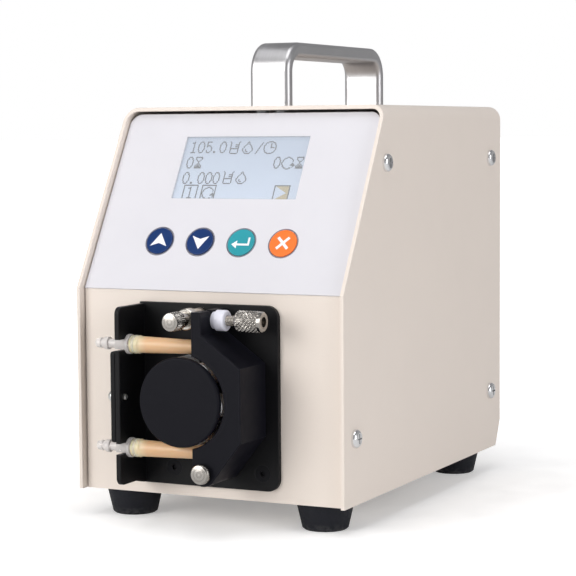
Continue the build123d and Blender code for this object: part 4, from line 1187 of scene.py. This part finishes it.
band_plastic = make_clear_plastic("Frosted band plastic", (0.88, 0.82, 0.66, 1), 0.35)
make_latch_knob()
make_pivot_knob()
make_latch_bolt()
make_latch_nut()
make_pump_tube_piece()
make_tube_bands()
make_connector("outlet_connector", "connector_outlet")
make_connector("inlet_connector", "connector_inlet")
make_display_cells()
make_run_symbol()
make_key_rims()
make_key_symbols()

# ------------------------------------------------------------------ camera, floor and light

CAMERA_PLACE = (0.4319, -0.89245, 0.1871)
CAMERA_LENS = 121.67
CAMERA_HEADING = 25.86
CAMERA_DROP = 4.63
CAMERA_ROLL = -0.0075
LAMP_TARGET = (0, 0, 0.1)

def make_camera():
    """Long lens a little above the pump and to its right."""
    data = bpy.data.cameras.new("Front right view")
    data.sensor_width = 36
    data.lens = CAMERA_LENS
    camera = bpy.data.objects.new("Front right view", data)
    bpy.context.scene.collection.objects.link(camera)
    heading = Matrix.Rotation(radians(CAMERA_HEADING), 4, "Z")
    pitch = Matrix.Rotation(radians(90 - CAMERA_DROP), 4, "X")
    roll = Matrix.Rotation(CAMERA_ROLL, 4, "Z")
    camera.matrix_world = Matrix.Translation(CAMERA_PLACE) @ heading @ pitch @ roll
    bpy.context.scene.camera = camera


def make_floor():
    """Pale floor with a painted glow that runs into the bright backdrop away from the pump."""
    material, tree, shader = new_material("Pale floor", Roughness=0.75)
    skin = moulded(tree, (0.86, 0.86, 0.86, 1), 200.0)
    where = add(tree, "TexCoord").outputs["Object"]
    distance = add(tree, "VectorMath", {0: where}, operation="LENGTH").outputs["Value"]
    # Painted light on the floor, seen by the camera only: a glow of 0.24 near the middle, rising to full
    # white from 0.5 m out, which lightens the real shadows.
    far = spread(tree, distance, 0.05, 0.5, 0.24, 1.0)
    shown = maths(tree, "MULTIPLY", far, add(tree, "LightPath").outputs["Is Camera Ray"])
    painted_floor_glow = grey(tree, shown)
    shader.inputs["Emission Strength"].default_value = 1.0
    shader.inputs["Specular IOR Level"].default_value = 0.2
    join(tree, shader, skin["Colour"], emission=painted_floor_glow)
    code = bmesh.new()
    bmesh.ops.create_circle(code, cap_ends=True, segments=96, radius=40.0)
    data = bpy.data.meshes.new("pale_floor")
    code.to_mesh(data)
    code.free()
    data.materials.append(material)
    floor_piece = bpy.data.objects.new("pale_floor", data)
    bpy.context.scene.collection.objects.link(floor_piece)


def soft_light(name, place, width, height, power, colour):
    """A soft rectangular lamp that looks at the pump."""
    data = bpy.data.lights.new(name, "AREA")
    data.shape = "RECTANGLE"
    data.size = width
    data.size_y = height
    data.energy = power
    data.color = colour
    lamp = bpy.data.objects.new(name, data)
    bpy.context.scene.collection.objects.link(lamp)
    lamp.location = place
    aim = Vector(LAMP_TARGET) - Vector(place)
    lamp.rotation_mode = "QUATERNION"
    lamp.rotation_quaternion = aim.to_track_quat("-Z", "Y")


def make_light():
    """Dim surroundings behind a bright backdrop, and large soft lamps."""
    world = bpy.data.worlds.new("Pale studio")
    world.use_nodes = True
    tree = world.node_tree
    backdrop = tree.nodes["Background"]
    seen = add(tree, "LightPath").outputs["Is Camera Ray"]
    where = add(tree, "TexCoord").outputs["Generated"]
    height = add(tree, "SeparateXYZ", {0: where}).outputs["Z"]
    walls = blend_colours(tree, spread(tree, height, -0.1, 0.9), (0.46, 0.46, 0.46, 1), (0.26, 0.26, 0.27, 1))
    shown = blend_colours(tree, seen, walls, (1.0, 1.0, 1.0, 1))
    tree.links.new(shown, backdrop.inputs["Color"])
    bpy.context.scene.world = world
    bpy.context.scene.view_settings.view_transform = "Standard"
    soft_light("Front softbox", (-1.3, -2.1, 0.9), 1.5, 1.5, 35, (1.0, 0.99, 0.97))
    soft_light("Top softbox", (0.0, -0.5, 1.9), 1.5, 1.5, 15, (1.0, 1.0, 1.0))
    soft_light("Right fill", (2.2, -0.7, 0.6), 1.2, 1.4, 19, (0.99, 0.99, 1.0))


make_camera()
make_floor()
make_light()
